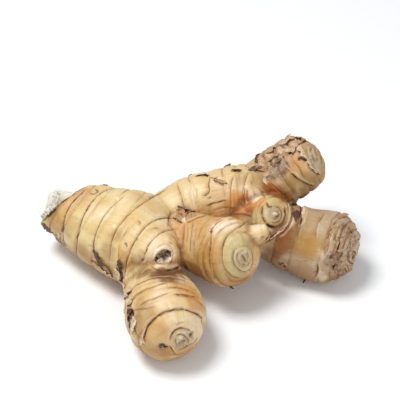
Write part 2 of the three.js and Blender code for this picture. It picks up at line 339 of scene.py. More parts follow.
class LobeShape:
    """The outline of one lobe, worked out from its sizes."""

    STEPS = 48
    DOME_STEPS = 60
    BODY_STEPS = 200
    CHUNK = 16000

    def __init__(self, lobe: Lobe) -> None:
        """Samples the axis and the outline.

        Args:
            lobe: The lobe's sizes.
        """
        self.lobe = lobe
        self.centres, self.tangents, self.along, self.stops = self._sample_axis()
        self.length = float(self.along[-1])
        self._sample_outline()

    def _sample_axis(self) -> tuple[np.ndarray, np.ndarray, np.ndarray, np.ndarray]:
        """Samples the axis as a centripetal Catmull-Rom curve.

        Returns:
            Points, directions and distances along the axis, and the distances of its own points.
        """
        own = np.array(self.lobe.axis, float)
        padded = np.vstack([2 * own[0] - own[1], own, 2 * own[-1] - own[-2]])
        t = np.arange(self.STEPS)[:, None] / self.STEPS
        points, slopes = [], []
        for i in range(len(own) - 1):
            p0, p1, p2, p3 = padded[i : i + 4]
            gaps = [math.sqrt(np.linalg.norm(b - a)) for a, b in ((p0, p1), (p1, p2), (p2, p3))]
            d0, d1, d2 = gaps
            m1 = d1 * ((p1 - p0) / d0 - (p2 - p0) / (d0 + d1) + (p2 - p1) / d1)
            m2 = d1 * ((p2 - p1) / d1 - (p3 - p1) / (d1 + d2) + (p3 - p2) / d2)
            a = 2 * p1 - 2 * p2 + m1 + m2
            b = -3 * p1 + 3 * p2 - 2 * m1 - m2
            span = np.vstack([t, [[1.0]]]) if i == len(own) - 2 else t
            points.append(a * span**3 + b * span**2 + m1 * span + p1)
            slopes.append(3 * a * span**2 + 2 * b * span + m1)
        centres = np.vstack(points)
        steps = np.linalg.norm(np.diff(centres, axis=0), axis=1)
        along = np.concatenate([[0.0], np.cumsum(steps)])
        return centres, unit(np.vstack(slopes)), along, along[:: self.STEPS]

    def girth_at(self, along: np.ndarray) -> np.ndarray:
        """The radius at distances along the axis, by a cubic whose slopes follow its neighbours.

        Args:
            along: Distances along the axis.

        Returns:
            The radii.
        """
        xs, ys = self.stops, np.array(self.lobe.girth, float)
        last = len(xs) - 1
        slope = np.array(
            [(ys[min(k + 1, last)] - ys[max(k - 1, 0)]) / (xs[min(k + 1, last)] - xs[max(k - 1, 0)])
             for k in range(last + 1)]
        )
        i = np.clip(np.searchsorted(xs, along, side="left") - 1, 0, last - 1)
        step = xs[i + 1] - xs[i]
        t = np.clip((along - xs[i]) / step, 0, 1)
        return (
            (2 * t**3 - 3 * t**2 + 1) * ys[i]
            + (t**3 - 2 * t**2 + t) * step * slope[i]
            + (3 * t**2 - 2 * t**3) * ys[i + 1]
            + (t**3 - t**2) * step * slope[i + 1]
        )

    def _sample_outline(self) -> None:
        """Samples the outline from the tip back to the root, with its own length as skin."""
        shoulder = self.length - self.lobe.dome
        turn = (math.pi / 2) * (1 - np.arange(self.DOME_STEPS + 1) / self.DOME_STEPS)
        dome_along = shoulder + self.lobe.dome * np.sin(turn)
        dome_radius = self.girth_at(dome_along) * np.cos(turn)
        body_along = shoulder * (1 - np.arange(1, self.BODY_STEPS + 1) / self.BODY_STEPS)
        self.out_along = np.concatenate([dome_along, body_along])
        self.out_radius = np.concatenate([dome_radius, self.girth_at(body_along)])
        steps = np.hypot(np.diff(self.out_along), np.diff(self.out_radius))
        self.out_skin = np.concatenate([[0.0], np.cumsum(steps)])
        run = np.gradient(self.out_skin)
        self.normal_along = np.gradient(self.out_radius) / run
        self.normal_out = -np.gradient(self.out_along) / run
        self.normal_along[0], self.normal_out[0] = 1.0, 0.0
        self.skin_length = float(self.out_skin[-1])

    def reach(self, points: np.ndarray, margin: float) -> np.ndarray:
        """Which points are near the lobe.

        Args:
            points: Positions.
            margin: How far outside the lobe still counts.

        Returns:
            A mask.
        """
        low = self.centres.min(0) - max(self.lobe.girth) - margin
        high = self.centres.max(0) + max(self.lobe.girth) + margin
        return ((points > low) & (points < high)).all(axis=1)

    def locate(self, points: np.ndarray) -> Place:
        """Finds where points lie on the lobe.

        Args:
            points: Positions.

        Returns:
            Their places.
        """
        starts = range(0, max(len(points), 1), self.CHUNK)
        parts = [self._locate(points[i : i + self.CHUNK]) for i in starts]
        if len(parts) == 1:
            return parts[0]
        names = Place.__dataclass_fields__
        return Place(**{n: np.concatenate([getattr(p, n) for p in parts]) for n in names})

    def _locate(self, points: np.ndarray) -> Place:
        """Finds the places of one chunk of points.

        Args:
            points: Positions.

        Returns:
            Their places.
        """
        squares = (self.centres**2).sum(1)[None] - 2 * points @ self.centres.T
        near = squares.argmin(1)
        forward = self.tangents[near]
        offset = points - self.centres[near]
        ahead = (offset * forward).sum(1)
        radial = offset - ahead[:, None] * forward
        radius = np.linalg.norm(radial, axis=1)
        out = radial / np.maximum(radius, 1e-6)[:, None]
        along = self.along[near] + ahead
        apart = (along[:, None] - self.out_along) ** 2 + (radius[:, None] - self.out_radius) ** 2
        k = apart.argmin(1)
        da, dr = along - self.out_along[k], radius - self.out_radius[k]
        n_along, n_out = self.normal_along[k], self.normal_out[k]
        skin = np.maximum(self.out_skin[k] + dr * n_along - da * n_out, 0.0)
        height = da * n_along + dr * n_out
        height = np.where(along < -0.5, np.maximum(height, -along), height)
        side = unit(np.cross(forward, UP))
        top = np.cross(side, forward)
        angle = np.arctan2((out * top).sum(1), (out * side).sum(1))
        normal = unit(out * n_out[:, None] + forward * n_along[:, None])
        foot = points - normal * height[:, None]
        return Place(skin, self.ring_at(skin, angle), angle, height, normal, foot)

    def lean(self, ring: np.ndarray, angle: np.ndarray) -> np.ndarray:
        """How far a ring is carried along the skin at an angle. Rings near the tip stay round.

        Args:
            ring: Ring coordinates.
            angle: Angles round the lobe.

        Returns:
            Distances along the skin.
        """
        reach, toward = self.lobe.slant
        eased = np.clip((ring - 4) / 10, 0, 1)
        wave = reach * np.cos(angle - math.radians(toward)) + 0.3 * np.sin(2 * angle + self.length)
        return eased * wave

    def ring_at(self, skin: np.ndarray, angle: np.ndarray) -> np.ndarray:
        """The ring coordinate at distances along the skin.

        Args:
            skin: Distances back from the tip.
            angle: Angles round the lobe.

        Returns:
            Ring coordinates.
        """
        ring = skin + self.lean(skin, angle)
        return skin + self.lean(ring, angle)

    def point_at(self, ring: float, degrees: float, lift: float = 0.0) -> tuple[np.ndarray, np.ndarray]:
        """A point on the bare outline.

        Args:
            ring: Its ring coordinate.
            degrees: Its angle round the lobe.
            lift: Its height over the outline.

        Returns:
            The point and the outward direction there.
        """
        points, normals = self.points_at(np.array([ring]), np.radians([degrees]), np.array([lift]))
        return points[0], normals[0]

    def points_at(
        self, ring: np.ndarray, angle: np.ndarray, lift: np.ndarray
    ) -> tuple[np.ndarray, np.ndarray]:
        """Points over the bare outline, as arrays; see point_at.

        Args:
            ring: Ring coordinates.
            angle: Angles round the lobe, in radians.
            lift: Heights over the outline.

        Returns:
            The points and the outward directions there.
        """
        skin = np.clip(ring - self.lean(ring, angle), 0, self.skin_length)
        along = np.interp(skin, self.out_skin, self.out_along)
        radius = np.interp(skin, self.out_skin, self.out_radius)
        n_along = np.interp(skin, self.out_skin, self.normal_along)[:, None]
        n_out = np.interp(skin, self.out_skin, self.normal_out)[:, None]
        centre = np.stack([np.interp(along, self.along, self.centres[:, i]) for i in range(3)], 1)
        forward = unit(np.stack([np.interp(along, self.along, self.tangents[:, i]) for i in range(3)], 1))
        side = unit(np.cross(forward, UP))
        top = np.cross(side, forward)
        out = side * np.cos(angle)[:, None] + top * np.sin(angle)[:, None]
        normal = unit(out * n_out + forward * n_along)
        return centre + out * radius[:, None] + normal * lift[:, None], normal


Pixel = tuple[float, float]


class Shade(Enum):
    """The named shades of the skin, as the eye reads them, from 0 to 255."""

    CREAM = (227, 200, 150)
    PALE = (246, 228, 200)
    YELLOW = (226, 204, 150)
    TAN = (212, 172, 116)
    GOLD = (188, 146, 80)
    ORANGE = (206, 142, 68)
    AMBER = (204, 130, 50)
    RUST = (156, 86, 24)
    BROWN = (122, 80, 36)
    PINK = (210, 170, 136)
    LILAC = (186, 160, 128)
    MAUVE = (132, 102, 84)
    OLIVE = (166, 134, 82)
    GREEN = (206, 190, 140)
    GREY = (184, 168, 140)
    UMBER = (84, 50, 28)


def as_light(values: Iterable[float]) -> tuple[float, float, float]:
    """Turns a shade from 0 to 255, as the eye reads it, into amounts of light.

    Args:
        values: Red, green and blue.

    Returns:
        The amounts of red, green and blue light.
    """
    parts = [v / 255 for v in values]
    red, green, blue = (v / 12.92 if v <= 0.04045 else ((v + 0.055) / 1.055) ** 2.4 for v in parts)
    return red, green, blue


@dataclass(frozen=True)
class View:
    """The photograph's view of the root: where its camera stands, and what a pixel measures.

    Features that the photograph shows are placed by its pixels, in its frame of 400 by 400, and lie on
    the skin under them.
    """

    target: Point = (0.0, 0.0, 33.0)
    elevation: float = 40.0
    distance: float = 520.0
    pixel: float = 0.4
    frame: float = 400.0

    def place(self) -> np.ndarray:
        """Where the camera stands."""
        tilt = math.radians(self.elevation)
        return np.array(self.target) + self.distance * np.array([0.0, -math.cos(tilt), math.sin(tilt)])

    def rays(self, pixels: np.ndarray) -> np.ndarray:
        """The direction through each pixel.

        Args:
            pixels: Pixel positions.

        Returns:
            Directions of length one.
        """
        tilt = math.radians(self.elevation)
        ahead = np.array([0.0, math.cos(tilt), -math.sin(tilt)])
        upward = np.array([0.0, math.sin(tilt), math.cos(tilt)])
        aside = np.array([1.0, 0.0, 0.0])
        right = (pixels[:, :1] - self.frame / 2) * self.pixel
        high = (self.frame / 2 - pixels[:, 1:]) * self.pixel
        return unit(self.distance * ahead + right * aside + high * upward)


@dataclass(frozen=True)
class Line:
    """A line in the skin: a scar, a crack or the edge of a fold.

    It is traced on the photograph's pixels or, where on names a lobe, in (ring, degrees) on that lobe.
    Ink is how dark it is, width half its breadth, depth its groove, and step how far the skin on the
    left of the trace stands over it.
    """

    trace: tuple[Pixel, ...]
    ink: float = 0.7
    width: float = 0.22
    depth: float = 0.25
    step: float = 0.0
    on: str = ""


@dataclass(frozen=True)
class StainOrPaintedLight:
    """A patch of another shade, round a pixel of the photograph or a place on a lobe: a mark on the skin, or
    in some places painted shade or a painted highlight.
    """

    place: Pixel
    radius: float
    shade: Shade
    strength: float = 0.8
    on: str = ""


@dataclass(frozen=True)
class Crust:
    """A patch of rough, flaky skin."""

    place: Pixel
    radius: float
    strength: float = 1.0
    on: str = ""


@dataclass(frozen=True)
class Pit:
    """A pit, or with a negative depth a knob, in the skin. Ink is how dark it is."""

    place: Pixel
    radius: float
    depth: float
    ink: float = 0.8
    on: str = ""


@dataclass(frozen=True)
class Hollow:
    """A deep hollow in a lobe's skin, at a ring coordinate and an angle in degrees."""

    lobe: str
    ring: float
    angle: float
    radius: float
    depth: float
    ink: float


HOLLOWS = (
    Hollow("eye", 0.2, 0, 3.0, 2.4, 1.0),
    Hollow("front_finger", 1.0, 90, 1.3, 0.8, 0.4),
    Hollow("front_finger", 5.6, 150, 1.2, 0.9, 0.9),
    Hollow("right_lobe", 0.9, 0, 1.6, 0.9, 0.7),
    Hollow("knob", 1.4, 250, 0.8, 0.6, 0.7),
)

STUMP_LINES = (
    Line(((42, 221), (48, 216), (55, 210), (60, 203), (68, 194), (77, 189)), 1.0, 0.75, 0.2),
    Line(
        ((87, 188), (79, 195), (72, 202), (65, 214), (63, 224), (63, 234), (63, 244)),
        0.85, 0.24, 0.3, -0.25,
    ),
    Line(((65, 214), (63, 224), (62.5, 234)), 0.7, 0.5, 0.1),
    Line(((58, 231), (62, 235)), 0.6, 0.25, 0.1),
    Line(
        ((112, 188), (105, 190), (99, 193.5), (90, 203.5), (83, 216), (79, 228), (77, 240), (76, 254)),
        0.85, 0.24, 0.3, -0.25,
    ),
    Line(((99, 193.5), (90, 203.5), (85, 212)), 0.6, 0.34, 0.1),
    Line(
        ((126, 194), (114, 204), (105, 214), (100, 222), (95, 234), (93, 244), (93, 252), (95, 262)),
        0.7, 0.2, 0.3, -0.25,
    ),
    Line(
        ((172, 186), (158, 194), (142, 203), (132, 211), (118, 226), (113, 236), (110, 248), (109, 264)),
        0.62, 0.2, 0.3, -0.3,
    ),
    Line(((168, 188), (158, 194), (148, 199)), 0.7, 0.4, 0.1),
    Line(((90, 192.8), (93.4, 194), (97.2, 192), (98, 191), (95.5, 188.5)), 0.75, 0.34, 0.35),
    Line(((124.6, 242.8), (126.5, 244.5), (127, 247.4)), 0.7, 0.3, 0.2),
    Line(((138, 220), (140.5, 222.5), (139.5, 226)), 0.4, 0.25, 0.2),
    # Painted shadow along the lower edge of the stump.
    Line(((49, 232), (63, 245), (75, 255), (88, 263)), 0.6, 0.22, 0.1),
)

EYE_LINES = (
    Line(
        (
            (184, 219), (176, 217.5), (162, 217.5), (150.5, 221.5), (139.5, 232.5), (132, 245),
            (128, 256), (125.3, 264), (124.3, 276), (123, 288),
        ),
        0.75, 0.22, 0.35, -0.3,
    ),
    Line(((125, 266), (124.3, 276), (123, 290)), 0.6, 0.4, 0.15),
    Line(
        ((178, 229), (167.5, 229.8), (159, 233), (150.5, 241), (146.3, 247.5), (145, 253), (143, 258.5)),
        0.62, 0.2, 0.35, -0.3,
    ),
    Line(((147, 247), (145, 253), (143.2, 258.6), (141.4, 261.4)), 1.0, 0.42, 0.3),
    Line(
        (
            (155.4, 254.4), (157, 248), (163.2, 243.5), (169, 243.5), (173.7, 249.5), (174, 256),
            (171, 264), (163, 269), (156.5, 267.5), (152.3, 262.8), (151.5, 256.5), (155, 250),
        ),
        0.3, 0.16, 0.35, -0.2,
    ),
    Line(((169, 241.8), (172.5, 243.5)), 0.7, 0.2, 0.1),
    # The dark line under the eye's lip: its crease, darkened further as painted shadow.
    Line(((151, 265), (155, 269), (162, 270.5), (168, 270), (175, 269), (180, 266)), 0.9, 0.42, 0.6, 0.5),
    Line(((183.5, 223), (183, 233), (182, 243), (181, 252)), 0.4, 0.5, 0.6),
    Line(((187.5, 226), (187, 235), (186, 243)), 0.3, 0.3, 0.45),
    Line(((142, 274), (148, 269), (154, 268.5)), 0.5, 0.5, 0.2),
    # Painted shadow: a broad dark band under the eye.
    Line(((155, 271.5), (162, 273), (170, 273.5), (178, 272), (186, 269.5)), 0.6, 1.0, 0.3),
)

JUNCTION_LINES = (
    Line(((177, 184), (179, 190), (181, 196), (183, 203), (184, 208)), 0.6, 0.24, 0.3, -0.2),
    Line(((173, 216.5), (178, 220.5), (182.5, 223)), 1.0, 0.4, 0.6),
    Line(((185.5, 223), (192, 219.5), (198, 217), (206, 215)), 0.8, 0.3, 0.5),
    Line(((178, 210.5), (184, 208.5), (187, 212)), 1.0, 0.5, 0.6),
    Line(((187, 212), (191, 211), (195, 212)), 0.7, 0.25, 0.3),
    Line(((180, 213), (184, 217), (186, 220)), 0.9, 0.35, 0.4),
    Line(((184, 215), (189, 216), (194, 213)), 0.9, 0.5, 0.5),
    Line(((186, 208), (188, 212), (187, 217)), 0.9, 0.4, 0.4),
)

FRONT_LINES = (
    Line(
        (
            (122, 300), (129.7, 293), (134, 286), (142, 282), (148, 279), (154.5, 277.3), (163.5, 277),
            (174, 277.5), (185, 279.7), (191, 286),
        ),
        0.6, 0.22, 0.45, 0.4,
    ),
    Line(((122, 300), (129.7, 293), (130.5, 287.5)), 0.95, 0.42, 0.5, 0.3),
    Line(
        ((130, 306), (133.5, 297), (140.5, 292), (150.7, 287.3), (160, 284), (168, 282)),
        0.6, 0.24, 0.4, 0.35,
    ),
    Line(((129.5, 309), (130.3, 304), (132.5, 299)), 0.8, 0.4, 0.3),
    Line(
        ((138.6, 306.5), (143, 302.6), (150.7, 299.4), (156, 298), (163.5, 294.3), (170, 292.7)),
        0.55, 0.24, 0.4, 0.3,
    ),
    Line(((174, 293.8), (184, 294.3), (190.3, 295.6), (196, 297)), 0.7, 0.22, 0.35, 0.3),
    Line(((133, 310), (139, 309), (148, 308.4), (156, 306)), 0.4, 0.3, 0.3, 0.2),
    Line(
        ((144, 346), (143, 340), (145, 334), (147, 327.5), (151, 321.8), (156.5, 316.7), (163.5, 312.2),
         (169, 310.6), (179, 309), (185, 309.6), (193, 312.2), (200, 315.5), (202.7, 322.4), (203, 330)),
        0.9, 0.3, 0.5, 0.45,
    ),
    Line(((156.5, 316.7), (163.5, 312.2), (169, 310.6), (179, 309), (185, 309.6)), 0.7, 0.42, 0.2),
    Line(((126, 300), (124.5, 306), (127, 313), (129, 321), (130, 328), (134, 336.5)), 1.0, 0.5, 0.4),
    Line(((128, 310), (132, 311), (133, 316), (130, 321)), 1.0, 0.6, 0.5),
    Line(((134, 312), (133, 320), (134, 328), (137, 335), (141, 341)), 0.6, 0.3, 0.4, 0.3),
    Line(((139, 336), (143, 341), (144.5, 346)), 0.8, 0.35, 0.3),
    Line(
        ((170, 342), (171, 335), (175, 330), (181.3, 327.8), (188, 329.5), (191.5, 331.5)),
        0.9, 0.34, 0.45, 0.3,
    ),
    Line(((178.8, 349.5), (185, 347.5), (192.8, 344), (196.6, 341), (198.3, 336)), 0.8, 0.3, 0.4),
    Line(((176.2, 335.5), (181.3, 333.9), (185.2, 336.4), (189, 340), (188.5, 343.5)), 0.8, 0.28, 0.4),
    Line(((176, 339), (175.5, 343), (178.5, 346)), 0.6, 0.24, 0.3),
    Line(((170, 346), (172, 350), (175, 354)), 0.9, 0.26, 0.4),
    Line(((170.5, 354.5), (179, 355.5), (190.3, 350), (197, 344)), 0.6, 0.24, 0.3),
    Line(((176, 325.6), (179, 323.5), (182.6, 322.4)), 0.35, 0.2, 0.25),
    Line(((160, 350), (165, 348.5), (168, 346)), 0.9, 0.5, 0.3),
)

MIDDLE_LINES = (
    Line(
        ((224, 219), (217, 221.5), (213.7, 226), (211.4, 230), (210.3, 237), (210.6, 244.4), (209.5, 253),
         (209, 262), (212, 272)),
        0.6, 0.22, 0.35, -0.25,
    ),
    Line(((213.7, 226), (211.4, 230), (210.6, 233)), 0.8, 0.36, 0.1),
    Line(
        ((246, 221.5), (242, 225.3), (236.6, 228), (232, 231.4), (227.4, 235), (224.4, 240.6), (222, 250),
         (222, 259), (223.6, 266.6), (229, 274.3), (235, 277.7), (242, 278.5)),
        0.66, 0.22, 0.35, -0.25,
    ),
    Line(((223.6, 266.6), (229, 274.3), (235, 277.7), (242, 278.5)), 0.6, 0.34, 0.1),
    Line(((210, 218.4), (203, 224.5), (200, 230), (198, 238)), 0.4, 0.2, 0.3, -0.15),
    Line(((193.5, 222), (191, 232), (189.5, 244), (190, 255)), 0.45, 0.2, 0.35, -0.2),
    Line(((197, 226), (194.5, 236), (193, 250), (195, 263)), 0.35, 0.2, 0.3, -0.15),
    Line(((202, 229), (198.5, 236), (195.5, 242)), 0.3, 0.2, 0.3, -0.15),
    Line(
        ((236, 247), (233.6, 252), (232.6, 259), (235, 266), (240, 271), (246, 272.4), (251, 269),
         (253.5, 262),
         (253.3, 254), (250, 248)),
        0.6, 0.3, 0.4, 0.2,
    ),
    Line(((238.5, 251), (237, 257), (239, 263), (243, 266.5), (248, 265.5), (250.5, 260)), 0.4, 0.22, 0.25),
    Line(((241.5, 254.5), (244, 258), (246.5, 262)), 0.75, 0.3, 0.3),
    Line(((246.5, 252), (248.5, 255), (248, 259)), 0.45, 0.22, 0.2),
    Line(((242, 264), (246, 265)), 0.6, 0.25, 0.2),
    Line(((269, 230), (270.3, 234.5), (267.2, 239.8), (264, 241.5)), 0.95, 0.4, 0.3),
    Line(((252, 240), (256, 238), (261, 241)), 0.3, 0.3, 0.2),
)

ARM_LINES = (
    Line(((196, 175.3), (203, 174.6), (208.3, 176)), 1.0, 0.5, 0.3),
    Line(((208, 176.4), (216, 178.5), (224.8, 182), (228, 184)), 0.75, 0.26, 0.35, 0.2),
    Line(((222, 181), (225, 182.3), (228, 184.2)), 1.0, 0.4, 0.3),
    Line(((214, 180.4), (219.7, 183.6), (224.2, 185.3)), 0.9, 0.34, 0.3),
    Line(
        ((209, 177), (209, 180), (208.3, 185.5), (209.3, 189.3), (208.3, 193.8), (202.5, 195.2)),
        0.8, 0.28, 0.35, -0.2,
    ),
    Line(((202, 195.2), (207, 195)), 1.0, 0.36, 0.3),
    Line(((211, 196.8), (208.3, 198.6)), 0.7, 0.26, 0.2),
    Line(((206, 206.5), (211, 204), (218.5, 202.4), (223, 200.8), (227, 200.6)), 0.75, 0.32, 0.4, 0.3),
    Line(
        ((234, 175), (231.3, 181), (230.6, 189), (230.6, 196), (231.2, 206), (230, 213)),
        0.55, 0.2, 0.35, -0.2,
    ),
    Line(((231, 170.6), (236, 170.3), (241.5, 171.2)), 1.0, 0.6, 0.3),
    Line(((248.5, 171), (246, 178), (243.4, 187), (242, 196), (242, 204)), 0.45, 0.24, 0.4, -0.25),
    Line(((244.5, 188), (243.8, 196), (244.5, 205)), 0.75, 0.3, 0.3),
    Line(((247.2, 190), (247.4, 198)), 0.5, 0.24, 0.2),
    Line(((191, 186), (190.5, 196), (193, 207)), 0.2, 0.25, 0.35, 0.15),
    Line(((196, 188), (196.5, 198), (199.5, 209)), 0.25, 0.25, 0.35, -0.15),
    Line(((213, 211), (222, 208), (231, 207)), 0.35, 0.25, 0.3),
    Line(((226, 216.5), (234, 214.5), (243, 214), (252, 217)), 0.55, 0.35, 0.4),
    Line(((257, 187), (262, 192), (266, 199)), 0.4, 0.3, 0.3),
)

BUD_LINES = (
    Line(
        ((264.5, 222), (269, 226.5), (275.5, 228), (281.5, 225.5), (285.5, 219.5), (286.5, 213),
         (284.5, 206.5)),
        0.95, 0.55, 0.8, -0.4,
    ),
    Line(((263, 206), (261.5, 212), (262.5, 218), (266, 224)), 0.8, 0.45, 0.6),
    Line(
        ((292.5, 213), (291.7, 221.5), (285.6, 230.7), (278, 235), (271.8, 238), (264.5, 244)),
        0.6, 0.3, 0.3,
    ),
    Line(
        ((270, 222), (276, 223.5), (281, 220), (282.5, 214), (280, 208), (274.5, 206)),
        0.6, 0.32, 0.5, 0.25,
    ),
    Line(
        ((272, 218.5), (276, 219.5), (279, 216.5), (278.5, 212.5), (275, 211), (272.5, 213)),
        0.5, 0.22, 0.3, 0.15,
    ),
    Line(((275, 217.5), (277, 216.8), (279.5, 214)), 1.0, 0.45, 0.3),
    Line(((266.5, 202.5), (269, 207), (272.5, 206)), 1.0, 0.5, 0.6),
    Line(((288.5, 203), (288.8, 212), (287, 220), (281, 228), (272, 233)), 0.5, 0.35, 0.4, 0.3),
)

TOP_LINES = (
    Line(((290.5, 172.3), (295.4, 177.2), (302, 182), (309, 185.3), (315, 187)), 1.0, 0.42, 0.4, -0.1),
    Line(((286, 168), (290.5, 172.3)), 0.5, 0.3, 0.3),
    Line(((288, 154), (292, 151.5), (296, 149.3)), 1.0, 0.42, 0.5, 0.3),
    Line(((297.3, 146), (299.3, 148.4), (302, 150.4)), 1.0, 0.42, 0.5),
    Line(((298.7, 156.6), (302.5, 158.3), (307.5, 160.6)), 1.0, 0.6, 0.8, 0.4),
    Line(((307.5, 160.6), (308.8, 163.5), (310, 168), (314.4, 171.2), (320.9, 175.5)), 0.8, 0.28, 0.5, 0.4),
    Line(((297, 146.3), (300, 143), (304, 140.3), (308, 138.8), (313, 138)), 0.9, 0.4, 0.4, -0.4),
    Line(((321, 153), (322.5, 158), (322, 164)), 0.75, 0.3, 0.3),
    Line(((311, 147), (312, 154), (315, 161)), 0.35, 0.25, 0.35, 0.15),
    Line(((315, 146), (317, 153), (319, 161)), 0.35, 0.25, 0.35, 0.15),
    Line(((306, 146), (307, 152), (309, 157)), 0.3, 0.22, 0.3),
    Line(((255, 163), (255.3, 158.2), (258, 154.4)), 1.0, 0.5, 0.5),
    Line(((250.4, 168.5), (254, 166.4), (259, 168), (264, 168.6)), 0.9, 0.5, 0.4),
    Line(((264.8, 176), (264.5, 180), (266, 184)), 1.0, 0.36, 0.5),
    Line(((268, 167), (266, 172), (266.5, 178)), 0.6, 0.3, 0.4),
    Line(((269, 158.5), (272, 163.5), (275, 166)), 0.6, 0.3, 0.35),
    Line(((283, 154), (286, 158), (287, 163), (290, 168)), 0.5, 0.3, 0.45, 0.35),
    Line(((271, 183), (277, 189), (285, 195)), 0.6, 0.3, 0.4, 0.25),
    Line(((280, 141), (286, 139.5), (292, 139)), 0.7, 0.35, 0.3),
)

RIGHT_LINES = (
    Line(((305.2, 204.7), (303.9, 211.4), (301.5, 219.2), (299.7, 226)), 1.0, 0.42, 0.7, 0.5),
    Line(((290.6, 204.9), (295, 203.8), (301, 202.8)), 1.0, 0.5, 0.4),
    Line(((299.7, 226), (297.5, 234), (297, 243)), 0.35, 0.3, 0.35, -0.2),
    Line(
        ((336.7, 220.5), (333, 226.5), (329.7, 232.6), (327, 241), (326.4, 248.3), (324.5, 254.4)),
        0.9, 0.34, 0.5, -0.35,
    ),
    Line(((344, 237), (341.5, 242.3), (338, 250.8), (333.6, 255.6)), 0.95, 0.42, 0.5, -0.35),
    Line(((320, 216), (317.5, 224), (315.5, 232), (316, 238)), 0.3, 0.24, 0.35, -0.2),
    Line(((325, 213), (321, 217.5), (319, 222)), 0.5, 0.3, 0.35, -0.2),
    Line(((317.3, 263.5), (317.9, 268.3), (316.7, 273.8), (314.8, 278)), 0.95, 0.32, 0.5, 0.25),
    Line(((333, 264.7), (335.5, 269), (335.5, 274)), 0.85, 0.34, 0.4),
    Line(((349, 232), (346, 240), (342.5, 249)), 0.6, 0.25, 0.4, -0.2),
    Line(((352, 238), (349.5, 245), (347, 252)), 0.6, 0.25, 0.4, -0.2),
    Line(((340, 226), (337, 233), (334, 240)), 0.5, 0.25, 0.4, -0.2),
    Line(((350.5, 250), (348.5, 256), (350, 262.5), (354, 264)), 0.7, 0.3, 0.4),
    Line(
        ((349, 252), (352.5, 250.5), (356, 253), (357, 258), (355, 263), (351.5, 264.5), (348.5, 261),
         (348, 256),
         (349, 252)),
        0.95, 0.32, 0.5, -0.3,
    ),
    Line(((277, 261), (281, 264), (285, 268)), 1.0, 0.5, 0.4),
    Line(((345, 262), (343, 268), (344, 274)), 0.5, 0.24, 0.3),
    Line(((294, 260), (300, 262), (307, 261)), 0.25, 0.3, 0.3),
)

LINES = (
    STUMP_LINES + EYE_LINES + JUNCTION_LINES + FRONT_LINES + MIDDLE_LINES + ARM_LINES + BUD_LINES
    + TOP_LINES + RIGHT_LINES
)
